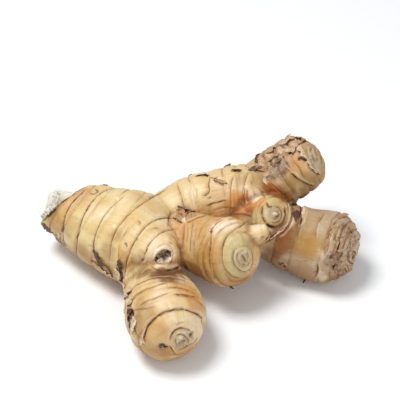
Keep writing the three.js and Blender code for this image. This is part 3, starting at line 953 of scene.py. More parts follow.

# Patches of other shades: most are marks on the skin; those with a comment above them are painted shade or
# painted highlights.
STAINS_AND_PAINTED_LIGHT = (
    StainOrPaintedLight((82, 193), 6.0, Shade.PINK, 0.8),
    StainOrPaintedLight((68, 203), 6.0, Shade.TAN, 0.9),
    StainOrPaintedLight((54, 220), 6.5, Shade.GOLD, 0.85),
    StainOrPaintedLight((72, 224), 5.0, Shade.GOLD, 0.5),
    StainOrPaintedLight((66, 232), 4.0, Shade.OLIVE, 0.6),
    StainOrPaintedLight((97, 212), 6.0, Shade.PALE, 0.5),
    StainOrPaintedLight((82, 250), 5.0, Shade.OLIVE, 0.6),
    StainOrPaintedLight((92, 258), 4.6, Shade.PINK, 0.7),
    StainOrPaintedLight((108, 252), 5.0, Shade.OLIVE, 0.55),
    StainOrPaintedLight((116, 236), 3.4, Shade.OLIVE, 0.45),
    StainOrPaintedLight((140, 198), 5.5, Shade.PINK, 0.55),
    StainOrPaintedLight((138, 212), 5.0, Shade.YELLOW, 0.7),
    StainOrPaintedLight((139, 223), 1.3, Shade.GREEN, 0.8),
    StainOrPaintedLight((114, 226), 0.9, Shade.PALE, 1.0),
    StainOrPaintedLight((165, 222), 5.0, Shade.PALE, 0.6),
    StainOrPaintedLight((150, 205), 6.0, Shade.CREAM, 0.6),
    StainOrPaintedLight((160, 238), 4.5, Shade.PALE, 0.9),
    StainOrPaintedLight((163, 256), 7.0, Shade.PALE, 1.0),
    StainOrPaintedLight((160, 246.5), 2.6, Shade.PALE, 1.0),
    StainOrPaintedLight((170, 250), 1.6, Shade.PALE, 0.9),
    StainOrPaintedLight((157, 265.5), 2.0, Shade.PALE, 0.8),
    StainOrPaintedLight((152.5, 262), 1.6, Shade.PINK, 0.8),
    StainOrPaintedLight((126, 262), 6.0, Shade.GOLD, 0.8),
    # Painted shade in the hollow left of the eye.
    StainOrPaintedLight((139, 268), 7.0, Shade.OLIVE, 1.0),
    StainOrPaintedLight((126, 282), 4.5, Shade.GOLD, 0.8),
    StainOrPaintedLight((160, 284), 4.0, Shade.CREAM, 0.55),
    # Painted light and shade, partly the skin's own colour: the front finger's crest pale where light falls,
    # its right side orange in shade.
    StainOrPaintedLight((162, 292), 5.0, Shade.PALE, 0.8),
    StainOrPaintedLight((166, 303), 5.0, Shade.PALE, 0.75),
    StainOrPaintedLight((186, 289), 7.0, Shade.ORANGE, 0.8),
    StainOrPaintedLight((196, 303), 6.5, Shade.ORANGE, 0.6),
    # Painted shadow under the eye, partly brown skin.
    StainOrPaintedLight((158, 274), 6.0, Shade.BROWN, 0.9),
    StainOrPaintedLight((170, 275), 7.0, Shade.BROWN, 1.0),
    StainOrPaintedLight((181, 271), 6.0, Shade.UMBER, 0.9),
    StainOrPaintedLight((164, 271), 4.0, Shade.UMBER, 0.9),
    StainOrPaintedLight((174, 272), 4.0, Shade.UMBER, 0.8),
    StainOrPaintedLight((144, 273), 4.0, Shade.BROWN, 0.6),
    StainOrPaintedLight((177, 264), 3.4, Shade.PINK, 0.85),
    StainOrPaintedLight((181, 250), 3.0, Shade.BROWN, 0.65),
    StainOrPaintedLight((183, 234), 3.0, Shade.ORANGE, 0.8),
    StainOrPaintedLight((184, 212), 4.0, Shade.MAUVE, 0.55),
    StainOrPaintedLight((140, 302), 4.5, Shade.GOLD, 0.7),
    StainOrPaintedLight((146, 312), 5.5, Shade.OLIVE, 0.6),
    StainOrPaintedLight((150, 308), 2.5, Shade.PINK, 0.6),
    StainOrPaintedLight((126, 293), 2.2, Shade.PINK, 0.8),
    StainOrPaintedLight((130, 314), 2.6, Shade.MAUVE, 0.95),
    StainOrPaintedLight((136, 326), 5.0, Shade.OLIVE, 0.75),
    StainOrPaintedLight((157, 334), 7.0, Shade.TAN, 0.8),
    StainOrPaintedLight((170, 328), 5.0, Shade.PINK, 0.5),
    # Painted highlight on the front finger's tip.
    StainOrPaintedLight((172, 322), 3.6, Shade.PALE, 0.7),
    StainOrPaintedLight((196, 330), 7.0, Shade.PALE, 0.8),
    StainOrPaintedLight((183, 341), 5.4, Shade.GREY, 0.85),
    StainOrPaintedLight((181, 336.5), 1.2, Shade.PALE, 0.8),
    StainOrPaintedLight((160, 350), 6.0, Shade.GOLD, 0.7),
    StainOrPaintedLight((148, 340), 5.0, Shade.TAN, 0.8),
    StainOrPaintedLight((162, 346), 2.0, Shade.UMBER, 0.95),
    StainOrPaintedLight((193, 240), 8.0, Shade.TAN, 0.8),
    # Painted shade, partly the skin's own gold: the middle finger's lower side darker.
    StainOrPaintedLight((201, 255), 9.0, Shade.GOLD, 0.9),
    StainOrPaintedLight((196, 272), 6.0, Shade.GOLD, 0.9),
    StainOrPaintedLight((213, 268), 6.0, Shade.GOLD, 0.75),
    StainOrPaintedLight((192, 246), 5.0, Shade.CREAM, 0.45),
    # Painted highlight, partly pale skin: the middle finger's top.
    StainOrPaintedLight((216, 228), 4.5, Shade.PALE, 0.8),
    StainOrPaintedLight((228, 224), 5.5, Shade.PALE, 0.9),
    StainOrPaintedLight((237, 250), 9.0, Shade.GREEN, 1.0),
    StainOrPaintedLight((238, 268), 8.0, Shade.GREEN, 0.95),
    StainOrPaintedLight((250, 244), 3.6, Shade.OLIVE, 0.6),
    StainOrPaintedLight((243, 258), 3.8, Shade.GREY, 0.8),
    StainOrPaintedLight((244.5, 253.5), 2.0, Shade.GREY, 1.0),
    StainOrPaintedLight((245.5, 251.5), 1.1, Shade.PALE, 0.5),
    # Painted highlight, partly pale skin: on and beside the knob.
    StainOrPaintedLight((249, 231), 3.6, Shade.CREAM, 0.8),
    StainOrPaintedLight((258, 226), 4.0, Shade.PALE, 0.95),
    StainOrPaintedLight((262, 233), 2.4, Shade.CREAM, 0.9),
    StainOrPaintedLight((195, 195), 6.0, Shade.CREAM, 0.6),
    StainOrPaintedLight((219, 190), 5.0, Shade.PINK, 0.45),
    StainOrPaintedLight((222, 211), 5.0, Shade.TAN, 0.6),
    StainOrPaintedLight((206, 212), 5.0, Shade.GOLD, 0.7),
    StainOrPaintedLight((236, 183), 4.0, Shade.OLIVE, 0.3),
    StainOrPaintedLight((241, 186), 4.4, Shade.PALE, 0.7),
    StainOrPaintedLight((238, 198), 4.6, Shade.AMBER, 0.8),
    StainOrPaintedLight((232, 205), 4.6, Shade.AMBER, 0.55),
    StainOrPaintedLight((246, 199), 3.4, Shade.AMBER, 0.7),
    StainOrPaintedLight((243, 206), 5.0, Shade.RUST, 0.9),
    StainOrPaintedLight((250, 210), 4.2, Shade.RUST, 0.85),
    StainOrPaintedLight((246, 207), 3.6, Shade.RUST, 1.0),
    StainOrPaintedLight((240, 211), 3.0, Shade.AMBER, 0.9),
    StainOrPaintedLight((251, 204), 2.6, Shade.AMBER, 0.8),
    StainOrPaintedLight((234, 212), 3.5, Shade.RUST, 0.65),
    StainOrPaintedLight((218, 214), 3.4, Shade.AMBER, 0.4),
    StainOrPaintedLight((233, 200), 3.0, Shade.ORANGE, 0.6),
    StainOrPaintedLight((258, 202), 4.0, Shade.ORANGE, 0.8),
    # Painted highlight, partly pale skin: on the back arm above the side bud.
    StainOrPaintedLight((254, 191), 3.6, Shade.PALE, 0.6),
    StainOrPaintedLight((257, 198), 3.2, Shade.PALE, 0.9),
    StainOrPaintedLight((258, 206), 2.8, Shade.AMBER, 0.5),
    StainOrPaintedLight((241, 178), 4.0, Shade.OLIVE, 0.5),
    StainOrPaintedLight((257, 180), 4.5, Shade.OLIVE, 0.6),
    StainOrPaintedLight((262, 160), 5.5, Shade.LILAC, 0.8),
    StainOrPaintedLight((274, 150), 7.0, Shade.LILAC, 0.9),
    StainOrPaintedLight((266, 158), 6.0, Shade.GOLD, 0.45),
    StainOrPaintedLight((290, 142), 6.0, Shade.PINK, 0.8),
    StainOrPaintedLight((268, 168), 4.0, Shade.BROWN, 0.5),
    StainOrPaintedLight((300, 139), 1.8, Shade.RUST, 0.7),
    StainOrPaintedLight((285, 150), 3.0, Shade.PALE, 0.45),
    StainOrPaintedLight((281, 165), 5.0, Shade.MAUVE, 1.0),
    StainOrPaintedLight((276, 174), 5.0, Shade.MAUVE, 0.85),
    StainOrPaintedLight((260, 168), 3.6, Shade.BROWN, 0.6),
    StainOrPaintedLight((271, 176), 2.4, Shade.GREY, 0.6),
    StainOrPaintedLight((278, 183), 2.8, Shade.PINK, 0.8),
    StainOrPaintedLight((300, 166), 6.0, Shade.TAN, 0.95),
    StainOrPaintedLight((295, 158), 5.0, Shade.PINK, 0.75),
    StainOrPaintedLight((304, 178), 5.0, Shade.TAN, 0.7),
    StainOrPaintedLight((295, 190), 9.0, Shade.OLIVE, 0.85),
    StainOrPaintedLight((312, 182), 6.0, Shade.OLIVE, 0.8),
    StainOrPaintedLight((313, 148), 5.5, Shade.LILAC, 0.95),
    StainOrPaintedLight((315, 160), 5.5, Shade.GREY, 0.9),
    StainOrPaintedLight((318, 170), 4.0, Shade.LILAC, 0.8),
    StainOrPaintedLight((275, 194), 5.0, Shade.RUST, 0.95),
    StainOrPaintedLight((268, 188), 4.0, Shade.RUST, 0.8),
    StainOrPaintedLight((285, 200), 4.6, Shade.RUST, 0.8),
    StainOrPaintedLight((264.5, 179), 1.0, Shade.PALE, 0.9),
    StainOrPaintedLight((276, 222), 8.5, Shade.CREAM, 1.0),
    StainOrPaintedLight((289, 216), 6.0, Shade.CREAM, 1.0),
    StainOrPaintedLight((280, 232), 6.0, Shade.LILAC, 0.7),
    StainOrPaintedLight((275, 214), 5.0, Shade.GREEN, 1.0),
    StainOrPaintedLight((274, 213), 4.0, Shade.GREY, 1.0),
    StainOrPaintedLight((275, 212.5), 1.3, Shade.PALE, 0.6),
    StainOrPaintedLight((289, 222), 2.6, Shade.PALE, 0.6),
    StainOrPaintedLight((268, 238), 3.4, Shade.TAN, 0.6),
    # Painted shadow of the side bud on the right lobe, partly brown skin.
    StainOrPaintedLight((299, 212), 4.0, Shade.BROWN, 1.0),
    StainOrPaintedLight((299, 226), 4.0, Shade.BROWN, 0.8),
    StainOrPaintedLight((290, 212), 2.8, Shade.CREAM, 1.0),
    StainOrPaintedLight((287, 225), 2.8, Shade.CREAM, 0.9),
    StainOrPaintedLight((317, 217), 8.0, Shade.LILAC, 0.9),
    StainOrPaintedLight((285, 240), 8.0, Shade.BROWN, 0.8),
    StainOrPaintedLight((276, 254), 6.0, Shade.BROWN, 0.75),
    StainOrPaintedLight((290, 236), 6.0, Shade.BROWN, 0.85),
    StainOrPaintedLight((283, 246), 6.0, Shade.BROWN, 0.5),
    StainOrPaintedLight((286, 243), 9.0, Shade.RUST, 0.3),
    StainOrPaintedLight((303, 240), 7.0, Shade.OLIVE, 0.7),
    StainOrPaintedLight((309, 247), 7.0, Shade.GOLD, 1.0),
    StainOrPaintedLight((307, 247), 8.0, Shade.OLIVE, 0.4),
    StainOrPaintedLight((292, 266), 7.0, Shade.LILAC, 0.9),
    StainOrPaintedLight((308, 271), 6.0, Shade.LILAC, 0.9),
    StainOrPaintedLight((325, 272), 5.0, Shade.LILAC, 0.8),
    StainOrPaintedLight((332, 258), 4.0, Shade.MAUVE, 0.8),
    StainOrPaintedLight((336, 240), 5.0, Shade.GOLD, 0.7),
    StainOrPaintedLight((345, 231), 4.0, Shade.MAUVE, 0.6),
    StainOrPaintedLight((346, 262), 6.0, Shade.LILAC, 0.8),
    StainOrPaintedLight((344, 246), 5.0, Shade.PALE, 0.45),
    StainOrPaintedLight((340, 274), 5.0, Shade.BROWN, 0.5),
    StainOrPaintedLight((352.5, 257.5), 2.6, Shade.OLIVE, 1.0),
    StainOrPaintedLight((353, 257), 1.1, Shade.UMBER, 0.9),
    StainOrPaintedLight((281, 264), 1.6, Shade.UMBER, 0.9),
    StainOrPaintedLight((336, 267), 2.4, Shade.BROWN, 0.95),
    StainOrPaintedLight((346, 268), 1.6, Shade.BROWN, 0.9),
    StainOrPaintedLight((345, 228), 2.4, Shade.BROWN, 0.8),
    StainOrPaintedLight((327, 262), 2.6, Shade.BROWN, 0.5),
)

CRUSTS = (
    Crust((278, 150), 8.0),
    Crust((292, 142), 6.0),
    Crust((264, 160), 5.0),
    Crust((279, 169), 6.5, 1.0),
    Crust((252, 167), 4.0, 0.8),
    Crust((314, 152), 6.5, 0.9),
    Crust((346, 240), 9.0),
    Crust((348, 256), 7.0),
    Crust((334, 258), 4.5),
    Crust((336, 228), 4.0, 0.8),
    Crust((340, 268), 5.0, 0.8),
    Crust((103, 264), 2.6, 0.7),
    Crust((131, 314), 2.6, 0.7),
    Crust((183, 342), 3.6, 0.55),
    Crust((12, 180), 9.0, 0.9, "right_lobe"),
    Crust((10, 250), 8.0, 0.8, "right_lobe"),
    Crust((14, 160), 8.0, 0.9, "top_finger"),
    Crust((18, 110), 7.0, 0.8, "top_finger"),
)

PITS = (
    Pit((318, 193), 9.0, 1.6, 0.0),
    Pit((157.8, 259), 1.9, 1.5, 1.0),
    Pit((168, 253.8), 1.9, 1.5, 1.0),
    Pit((166, 256.5), 1.1, -0.9, 0.3),
    Pit((159.5, 252.5), 0.9, -0.6, 0.2),
    Pit((305, 140), 3.0, 0.5, 0.0),
    Pit((162.2, 346), 1.3, 0.9, 0.9),
    Pit((281, 264.5), 1.8, 0.8, 0.9),
    Pit((262.3, 238), 0.9, 0.5, 0.9),
    Pit((353, 257), 1.7, 0.4, 0.3),
    Pit((183.9, 341), 0.7, 0.4, 0.8),
    Pit((181, 336.5), 1.0, -0.4, 0.0),
    Pit((275.2, 214), 1.3, -0.45, 0.0),
    Pit((244.5, 254), 2.0, -0.35, 0.0),
    Pit((90, 245.3), 0.6, 0.15, 0.4),
    Pit((132.3, 218), 0.5, 0.15, 0.5),
    Pit((299, 159), 0.8, 0.5, 0.8),
    Pit((283, 147), 0.8, 0.5, 0.8),
    Pit((291.6, 139.2), 0.8, 0.4, 0.9),
    Pit((279.5, 163), 1.0, 0.5, 0.7),
    Pit((331, 257), 1.1, 0.5, 0.8),
    Pit((338, 254), 0.9, 0.5, 0.8),
    Pit((346, 268), 1.1, 0.6, 0.8),
    Pit((336, 267), 1.5, 0.7, 0.8),
    Pit((349, 229), 0.8, 0.4, 0.7),
)


@dataclass(frozen=True)
class Break:
    """The face along which the old end of the stump was broken off."""

    centre: Point = (-56.9, 11.5, 19.0)
    normal: Point = (-0.587, 0.619, 0.522)
    across: Point = (0.726, 0.688, 0.0)
    up: Point = (0.359, -0.379, 0.853)
    dish: Point = (8.6, 1.5, 8.6)
    rough: float = 0.5
    rim: float = 0.6
    reach: float = 30.0

    def axes(self) -> np.ndarray:
        """The directions across, outward and up, as rows."""
        return unit(np.array([self.across, self.normal, self.up]))

    def point(self, across: float, up: float) -> np.ndarray:
        """A point on the face."""
        axes = self.axes()
        return np.array(self.centre) + across * axes[0] + up * axes[2]


@dataclass
class Traces:
    """All lines of the skin as one row of points, each with its own direction and measures."""

    points: np.ndarray
    tangents: np.ndarray
    sides: np.ndarray
    ink: np.ndarray
    width: np.ndarray
    depth: np.ndarray
    step: np.ndarray


class Skin:
    """The whole skin as a height over the lobes: what is below zero is inside."""

    MARGIN = 5.0
    FAR = 50.0
    CAST_START = 430.0
    CAST_STEPS = 160
    SMOOTHING = 2
    TRACE_STEP = 0.4
    STEP_RUN = 1.8
    TOUCH = 0.05
    STRIDE = 0.8
    LONGEST_MOVE = 3.0
    HOLLOW_EDGE = 0.5
    BREAK_EDGE = 0.4
    DISH_EDGE = 0.6
    GIRTH = 13.0
    PATCH_FULL = 0.35
    PATCH_END = 1.12
    PATCH_RAGGED = 0.38
    LINE_JITTER = 0.14
    CREASE_SHARE = 0.8
    CREASE_FILLET = 1.6

    def __init__(self, relief: Relief, view: View) -> None:
        """Works out the lobes, the noises and the places of the marks.

        Args:
            relief: The heights of the skin's relief.
            view: The photograph's view, by whose pixels marks are placed.
        """
        self.relief = relief
        self.view = view
        self.shapes = {lobe.name: LobeShape(lobe) for lobe in LOBES}
        self.broken = Break()
        self.coarse = Noise(11)
        self.fine = Noise(23)
        self.cells = Noise(37)
        self.crusts = self._centres(CRUSTS)
        self.patch_centres = self._centres(STAINS_AND_PAINTED_LIGHT)
        self.pits = self._centres(PITS)
        self.traces = self._trace_lines()

    def bump_at(self, p: np.ndarray) -> np.ndarray:
        """The slow bumps, as a sum of waves through space.

        Args:
            p: Positions.

        Returns:
            Heights.
        """
        x, y, z = p.T
        waves = (
            0.5 * np.sin(0.21 * x + 0.17 * y + 0.9)
            + 0.35 * np.sin(0.31 * y - 0.27 * z + 2.1)
            + 0.35 * np.sin(0.37 * z + 0.33 * x + 4.0)
        )
        return self.relief.bump * waves

    @staticmethod
    def ragged(angle: np.ndarray, seed: np.ndarray) -> np.ndarray:
        """An uneven edge round a lobe, between -1 and 1."""
        return (
            0.45 * np.sin(3 * angle + seed)
            + 0.3 * np.sin(7 * angle + 2.3 * seed)
            + 0.25 * np.sin(11 * angle + 4.1 * seed)
        )

    def ring_relief(self, lobe: Lobe, ring: np.ndarray, angle: np.ndarray) -> np.ndarray:
        """The lip, the groove and the swell between rings.

        Args:
            lobe: The lobe that carries the rings.
            ring: Ring coordinates.
            angle: Angles round the lobe.

        Returns:
            Heights over the outline.
        """
        r = self.relief
        scars = np.array(lobe.scars)
        nearest = scars[np.abs(ring[:, None] - scars).argmin(1)]
        q = ring - nearest
        torn = 1 + lobe.rough * self.ragged(angle, nearest)
        small = np.clip(nearest / 8, 0.45, 1)
        lip = np.where(q > 0, r.lip * torn * np.exp(-np.maximum(q, 0) / r.lip_run), 0)
        groove = r.groove * np.exp(-(((q + r.groove_offset) / r.groove_width) ** 2))
        edges = np.concatenate([[0.0], scars])
        k = np.clip(np.searchsorted(edges, ring, side="right"), 1, len(scars))
        t = np.clip((ring - edges[k - 1]) / (edges[k] - edges[k - 1]), 0, 1)
        swell = np.where(ring < scars[-1], r.swell * np.sin(math.pi * t), 0)
        return small * (lip - groove + swell)

    def wandered(self, place: Place) -> np.ndarray:
        """The ring coordinate with small waves, so that no ring is drawn with a compass."""
        return place.ring + self.relief.wander * self.coarse.layered(place.foot * 0.16 + 5.0, 3)

    def patch(self, centres: np.ndarray, marks: Sequence[object], points: np.ndarray) -> np.ndarray:
        """How far points are inside each mark.

        Args:
            centres: The centres of the marks.
            marks: The marks, which have a radius.
            points: Positions.

        Returns:
            A row for each mark, with 1 at its centre, 0 outside, and an uneven edge.
        """
        uneven = self.PATCH_RAGGED * self.coarse.layered(points * 0.3, 3)
        apart = [np.linalg.norm(points - centre, axis=1) for centre in centres]
        rows = [
            blend(self.PATCH_END, self.PATCH_FULL, away / mark.radius + uneven)
            for away, mark in zip(apart, marks)
        ]
        return np.array(rows)

    def scaliness(self, points: np.ndarray) -> np.ndarray:
        """How rough and flaky the skin is, from 0 to 1.

        Args:
            points: Positions.

        Returns:
            The roughness at each.
        """
        inside = self.patch(self.crusts, CRUSTS, points)
        strengths = np.array([crust.strength for crust in CRUSTS])[:, None]
        patchy = 0.25 * blend(0.15, 0.5, self.coarse.layered(points * 0.14 + 9.0, 3))
        return np.maximum((inside * strengths).max(0), patchy)

    def fine_relief(self, place: Place) -> np.ndarray:
        """Wrinkles along the lobe, puckers across it, flakes and grain.

        Args:
            place: Where the points lie on the lobe.

        Returns:
            Heights.
        """
        r = self.relief
        round_mm = place.angle * self.GIRTH
        flat = np.zeros_like(round_mm)
        along_lobe = np.stack([round_mm * 0.75, place.skin * 0.11, flat], 1)
        across_lobe = np.stack([round_mm * 0.12, place.skin * 1.1, flat + 3.0], 1)
        open_skin = blend(0.0, 5.0, place.skin)
        wrinkle = r.wrinkle * self.fine.layered(along_lobe, 2) * open_skin
        pucker = r.pucker * self.fine.layered(across_lobe, 2)
        ridged = np.stack([round_mm * 0.3, place.skin * 0.75, flat + 7.0], 1)
        chips = self.cells.layered(ridged, 3)
        terraces = np.floor(chips * 5.0 + 0.5) / 5.0
        scaly = self.scaliness(place.foot)
        flakes = r.scale * scaly * (1.6 * terraces + 0.6 * chips)
        grain = r.grain * self.fine.at(place.foot * 1.9)
        return wrinkle + pucker + flakes + grain

    def measure(
        self, points: np.ndarray, fine: bool
    ) -> tuple[np.ndarray, np.ndarray, np.ndarray, np.ndarray]:
        """The height of points over the whole skin.

        Args:
            points: Positions.
            fine: Whether the fine relief counts.

        Returns:
            Heights, outward directions, each point's lobe number and how open the skin is there: the
            height difference to the next lobe in shares of their fillet, which is zero in a crease.
        """
        count = len(points)
        heights = np.full((len(LOBES), count), self.FAR)
        normals = np.zeros((len(LOBES), count, 3))
        for i, lobe in enumerate(LOBES):
            mask = self.shapes[lobe.name].reach(points, self.MARGIN)
            place = self.shapes[lobe.name].locate(points[mask])
            raised = self.ring_relief(lobe, self.wandered(place), place.angle) + self.bump_at(place.foot)
            if fine:
                raised = raised + self.fine_relief(place)
            heights[i, mask] = place.height - raised
            normals[i, mask] = place.normal
        order = np.argsort(heights, axis=0)
        first, second = order[0], order[1]
        every = np.arange(count)
        low, next_low = heights[first, every], heights[second, every]
        fillets = np.array([lobe.fillet for lobe in LOBES])
        reach = np.minimum(fillets[first], fillets[second])
        share = np.clip(1 - (next_low - low) / reach, 0, 1)
        height = low - share**2 * reach / 4
        blended = unit(
            normals[first, every] * (1 - share / 2)[:, None] + normals[second, every] * (share / 2)[:, None]
        )
        height, blended = self._carve(points, height, blended)
        open_skin = (next_low - low) + self.CREASE_SHARE * (reach - self.CREASE_FILLET)
        return height, blended, first, open_skin

    def _carve(
        self, points: np.ndarray, height: np.ndarray, normal: np.ndarray
    ) -> tuple[np.ndarray, np.ndarray]:
        """Cuts the hollows and the broken face out of the skin.

        Args:
            points: Positions.
            height: Their heights over the skin.
            normal: The skin's outward directions.

        Returns:
            The new heights and directions.
        """
        for hollow in HOLLOWS:
            centre, out = self.shapes[hollow.lobe].point_at(hollow.ring, hollow.angle)
            offset = points - centre
            upright = offset @ out
            flat = offset - upright[:, None] * out
            size = np.sqrt((flat**2).sum(1) / hollow.radius**2 + upright**2 / hollow.depth**2)
            inside = (1 - size) * min(hollow.radius, hollow.depth)
            outward = unit(-(flat / hollow.radius**2 + upright[:, None] * out / hollow.depth**2))
            height, normal = self._cut(height, normal, inside, outward, self.HOLLOW_EDGE)
        axes = self.broken.axes()
        local = (points - np.array(self.broken.centre)) @ axes.T
        uneven = self.broken.rough * self.coarse.layered(points * 0.45, 3)
        beyond = local[:, 1] - uneven
        facing = np.tile(axes[1], (len(points), 1))
        height, normal = self._cut(height, normal, beyond, facing, self.BREAK_EDGE)
        size = np.sqrt(((local / np.array(self.broken.dish)) ** 2).sum(1))
        inside = (1 - size) * min(self.broken.dish)
        outward = unit(-(local / np.array(self.broken.dish) ** 2) @ axes)
        return self._cut(height, normal, inside, outward, self.DISH_EDGE)

    @staticmethod
    def _cut(
        height: np.ndarray, normal: np.ndarray, cut: np.ndarray, outward: np.ndarray, soft: float
    ) -> tuple[np.ndarray, np.ndarray]:
        """Takes a shape out of the skin, with a rounded edge.

        Args:
            height: Heights over the skin.
            normal: The skin's outward directions.
            cut: How far inside the cut shape each point is.
            outward: The outward directions of the wall that the cut leaves.
            soft: How far the edge is rounded.

        Returns:
            The new heights and directions.
        """
        share = np.clip(1 - np.abs(height - cut) / soft, 0, 1)
        result = np.maximum(height, cut) + share**2 * soft / 4
        weight = np.where(cut > height, 1 - share / 2, share / 2)[:, None]
        return result, unit(normal * (1 - weight) + outward * weight)

    def settle(self, points: np.ndarray, rounds: int, fine: bool) -> tuple[np.ndarray, np.ndarray]:
        """Moves points onto the skin.

        Args:
            points: Positions.
            rounds: How often the move is repeated.
            fine: Whether the fine relief counts.

        Returns:
            The new positions and the outward directions.
        """
        normal = np.zeros_like(points)
        for _ in range(rounds):
            height, normal, _, _ = self.measure(points, fine)
            move = np.clip(height, -self.LONGEST_MOVE, self.LONGEST_MOVE)
            points = points - move[:, None] * normal
        return points, normal

    def cast(self, pixels: np.ndarray) -> tuple[np.ndarray, np.ndarray]:
        """Finds the skin under pixels of the photograph.

        Args:
            pixels: Pixel positions; one beside the root finds the nearest skin.

        Returns:
            Points and outward directions.
        """
        start, rays = self.view.place(), self.view.rays(pixels)
        reach = np.full(len(pixels), self.CAST_START)
        best, best_height = reach.copy(), np.full(len(pixels), self.FAR)
        moving = np.arange(len(pixels))
        for _ in range(self.CAST_STEPS):
            height = self.measure(start + rays[moving] * reach[moving, None], False)[0]
            nearer = height < best_height[moving]
            best[moving[nearer]] = reach[moving[nearer]]
            best_height[moving[nearer]] = height[nearer]
            moving, height = moving[height > self.TOUCH], height[height > self.TOUCH]
            if len(moving) == 0:
                break
            reach[moving] += np.clip(self.STRIDE * height, self.TOUCH, self.MARGIN)
        return self.settle(start + rays * best[:, None], 3, False)

    def find(self, places: np.ndarray, on: str) -> tuple[np.ndarray, np.ndarray]:
        """Finds the skin at places.

        Args:
            places: Pixels, or (ring, degrees) on a lobe.
            on: The lobe's name, or nothing for pixels.

        Returns:
            Points and outward directions.
        """
        if not on:
            return self.cast(places)
        ring, angle = places[:, 0], np.radians(places[:, 1])
        points, _ = self.shapes[on].points_at(ring, angle, np.zeros_like(ring))
        return self.settle(points, 3, False)

    def _centres(self, marks: Sequence[object]) -> np.ndarray:
        """The centres of marks on the skin.

        Args:
            marks: The marks, each with its place.

        Returns:
            A point for each mark.
        """
        places = np.array([mark.place for mark in marks], float)
        centres = np.zeros((len(marks), 3))
        for on in sorted({mark.on for mark in marks}):
            mine = np.array([mark.on == on for mark in marks])
            centres[mine], _ = self.find(places[mine], on)
        return centres

    def rounded(self, trace: Sequence[Pixel]) -> np.ndarray:
        """A trace with its corners rounded and its points evenly spaced.

        Args:
            trace: The trace's own points.

        Returns:
            More points, on a smoother line.
        """
        points = np.array(trace, float)
        for _ in range(self.SMOOTHING):
            near = 0.75 * points[:-1] + 0.25 * points[1:]
            far = 0.25 * points[:-1] + 0.75 * points[1:]
            middle = np.stack([near, far], 1).reshape(-1, points.shape[1])
            points = np.vstack([points[:1], middle, points[-1:]])
        return points

    @staticmethod
    def spread(points: np.ndarray, count: int) -> np.ndarray:
        """Points evenly spaced along a trace.

        Args:
            points: The trace.
            count: How many points are wanted.

        Returns:
            The points.
        """
        steps = np.linalg.norm(np.diff(points, axis=0), axis=1)
        along = np.concatenate([[0.0], np.cumsum(steps)])
        at = np.linspace(0, along[-1], count)
        return np.stack([np.interp(at, along, points[:, i]) for i in range(points.shape[1])], 1)

    def _trace_lines(self) -> Traces:
        """Lays all lines on the skin.

        Returns:
            Their points, with directions and measures.
        """
        rows: list[list[np.ndarray]] = [[] for _ in range(7)]
        laid = [self.rounded(line.trace) for line in LINES]
        laid = [self.spread(points, max(8, 2 * len(points))) for points in laid]
        lengths = [len(points) for points in laid]
        found = np.zeros((sum(lengths), 3))
        owner = np.repeat(np.arange(len(LINES)), lengths)
        places = np.vstack(laid)
        for on in sorted({line.on for line in LINES}):
            mine = np.array([LINES[i].on == on for i in owner])
            found[mine], _ = self.find(places[mine], on)
        for i, line in enumerate(LINES):
            route = found[owner == i]
            length = np.linalg.norm(np.diff(route, axis=0), axis=1).sum()
            count = max(6, int(length / self.TRACE_STEP))
            route, normals = self.settle(self.spread(route, count), 2, False)
            jitter = self.LINE_JITTER * self.fine.layered(route * 0.9 + i, 2)
            tangents = unit(np.gradient(route, axis=0))
            sides = unit(np.cross(normals, tangents))
            route = route + sides * jitter[:, None]
            t = np.linspace(0, 1, count)
            ends = np.minimum(blend(0.0, 0.12, t), blend(1.0, 0.88, t))
            uneven = 1.0 + 0.45 * self.fine.layered(route * 0.35 + 3.0 * i, 2)
            ink = line.ink * (0.35 + 0.65 * ends) * np.clip(uneven, 0.6, 1.2)
            width = line.width * (0.45 + 0.55 * ends) * uneven
            values = (route, tangents, sides, ink, width, line.depth * ends, line.step * ends)
            for row, value in zip(rows, values):
                row.append(value)
        return Traces(*(np.concatenate(row) for row in rows))


class Bench:
    """The modelling steps that every piece uses."""

    @staticmethod
    def clear() -> None:
        """Leaves nothing selected, in object mode."""
        if bpy.context.mode != "OBJECT":
            bpy.ops.object.mode_set(mode="OBJECT")
        bpy.ops.object.select_all(action="DESELECT")

    @staticmethod
    def hold(obj: bpy.types.Object) -> None:
        """Makes one object the only selected and the active one.

        Args:
            obj: The object.
        """
        Bench.clear()
        obj.select_set(True)
        bpy.context.view_layer.objects.active = obj

    @staticmethod
    def modify(obj: bpy.types.Object, kind: str, **settings: object) -> None:
        """Adds a modifier and applies it.

        Args:
            obj: The object.
            kind: The modifier's type.
            **settings: Its properties.
        """
        Bench.hold(obj)
        modifier = obj.modifiers.new(kind.title(), kind)
        for name, value in settings.items():
            setattr(modifier, name, value)
        bpy.ops.object.modifier_apply(modifier=modifier.name)

    @staticmethod
    def read(obj: bpy.types.Object) -> np.ndarray:
        """The object's vertices, in growth coordinates.

        Args:
            obj: The object.

        Returns:
            Their positions.
        """
        flat = np.empty(len(obj.data.vertices) * 3)
        obj.data.vertices.foreach_get("co", flat)
        return from_frame(flat.reshape(-1, 3))

    @staticmethod
    def write(obj: bpy.types.Object, points: np.ndarray) -> None:
        """Puts the object's vertices at growth coordinates."""
        obj.data.vertices.foreach_set("co", to_frame(points).ravel())
        obj.data.update()

    @staticmethod
    def join(parts: Sequence[bpy.types.Object], name: str) -> bpy.types.Object:
        """Joins objects in one.

        Args:
            parts: The objects.
            name: The name of the result.

        Returns:
            The joined object.
        """
        Bench.hold(parts[0])
        for part in parts:
            part.select_set(True)
        bpy.ops.object.join()
        joined = bpy.context.view_layer.objects.active
        joined.name = name
        joined.data.name = name
        return joined

    @staticmethod
    def smooth(obj: bpy.types.Object) -> None:
        """Shades the object smooth."""
        Bench.hold(obj)
        bpy.ops.object.shade_smooth()


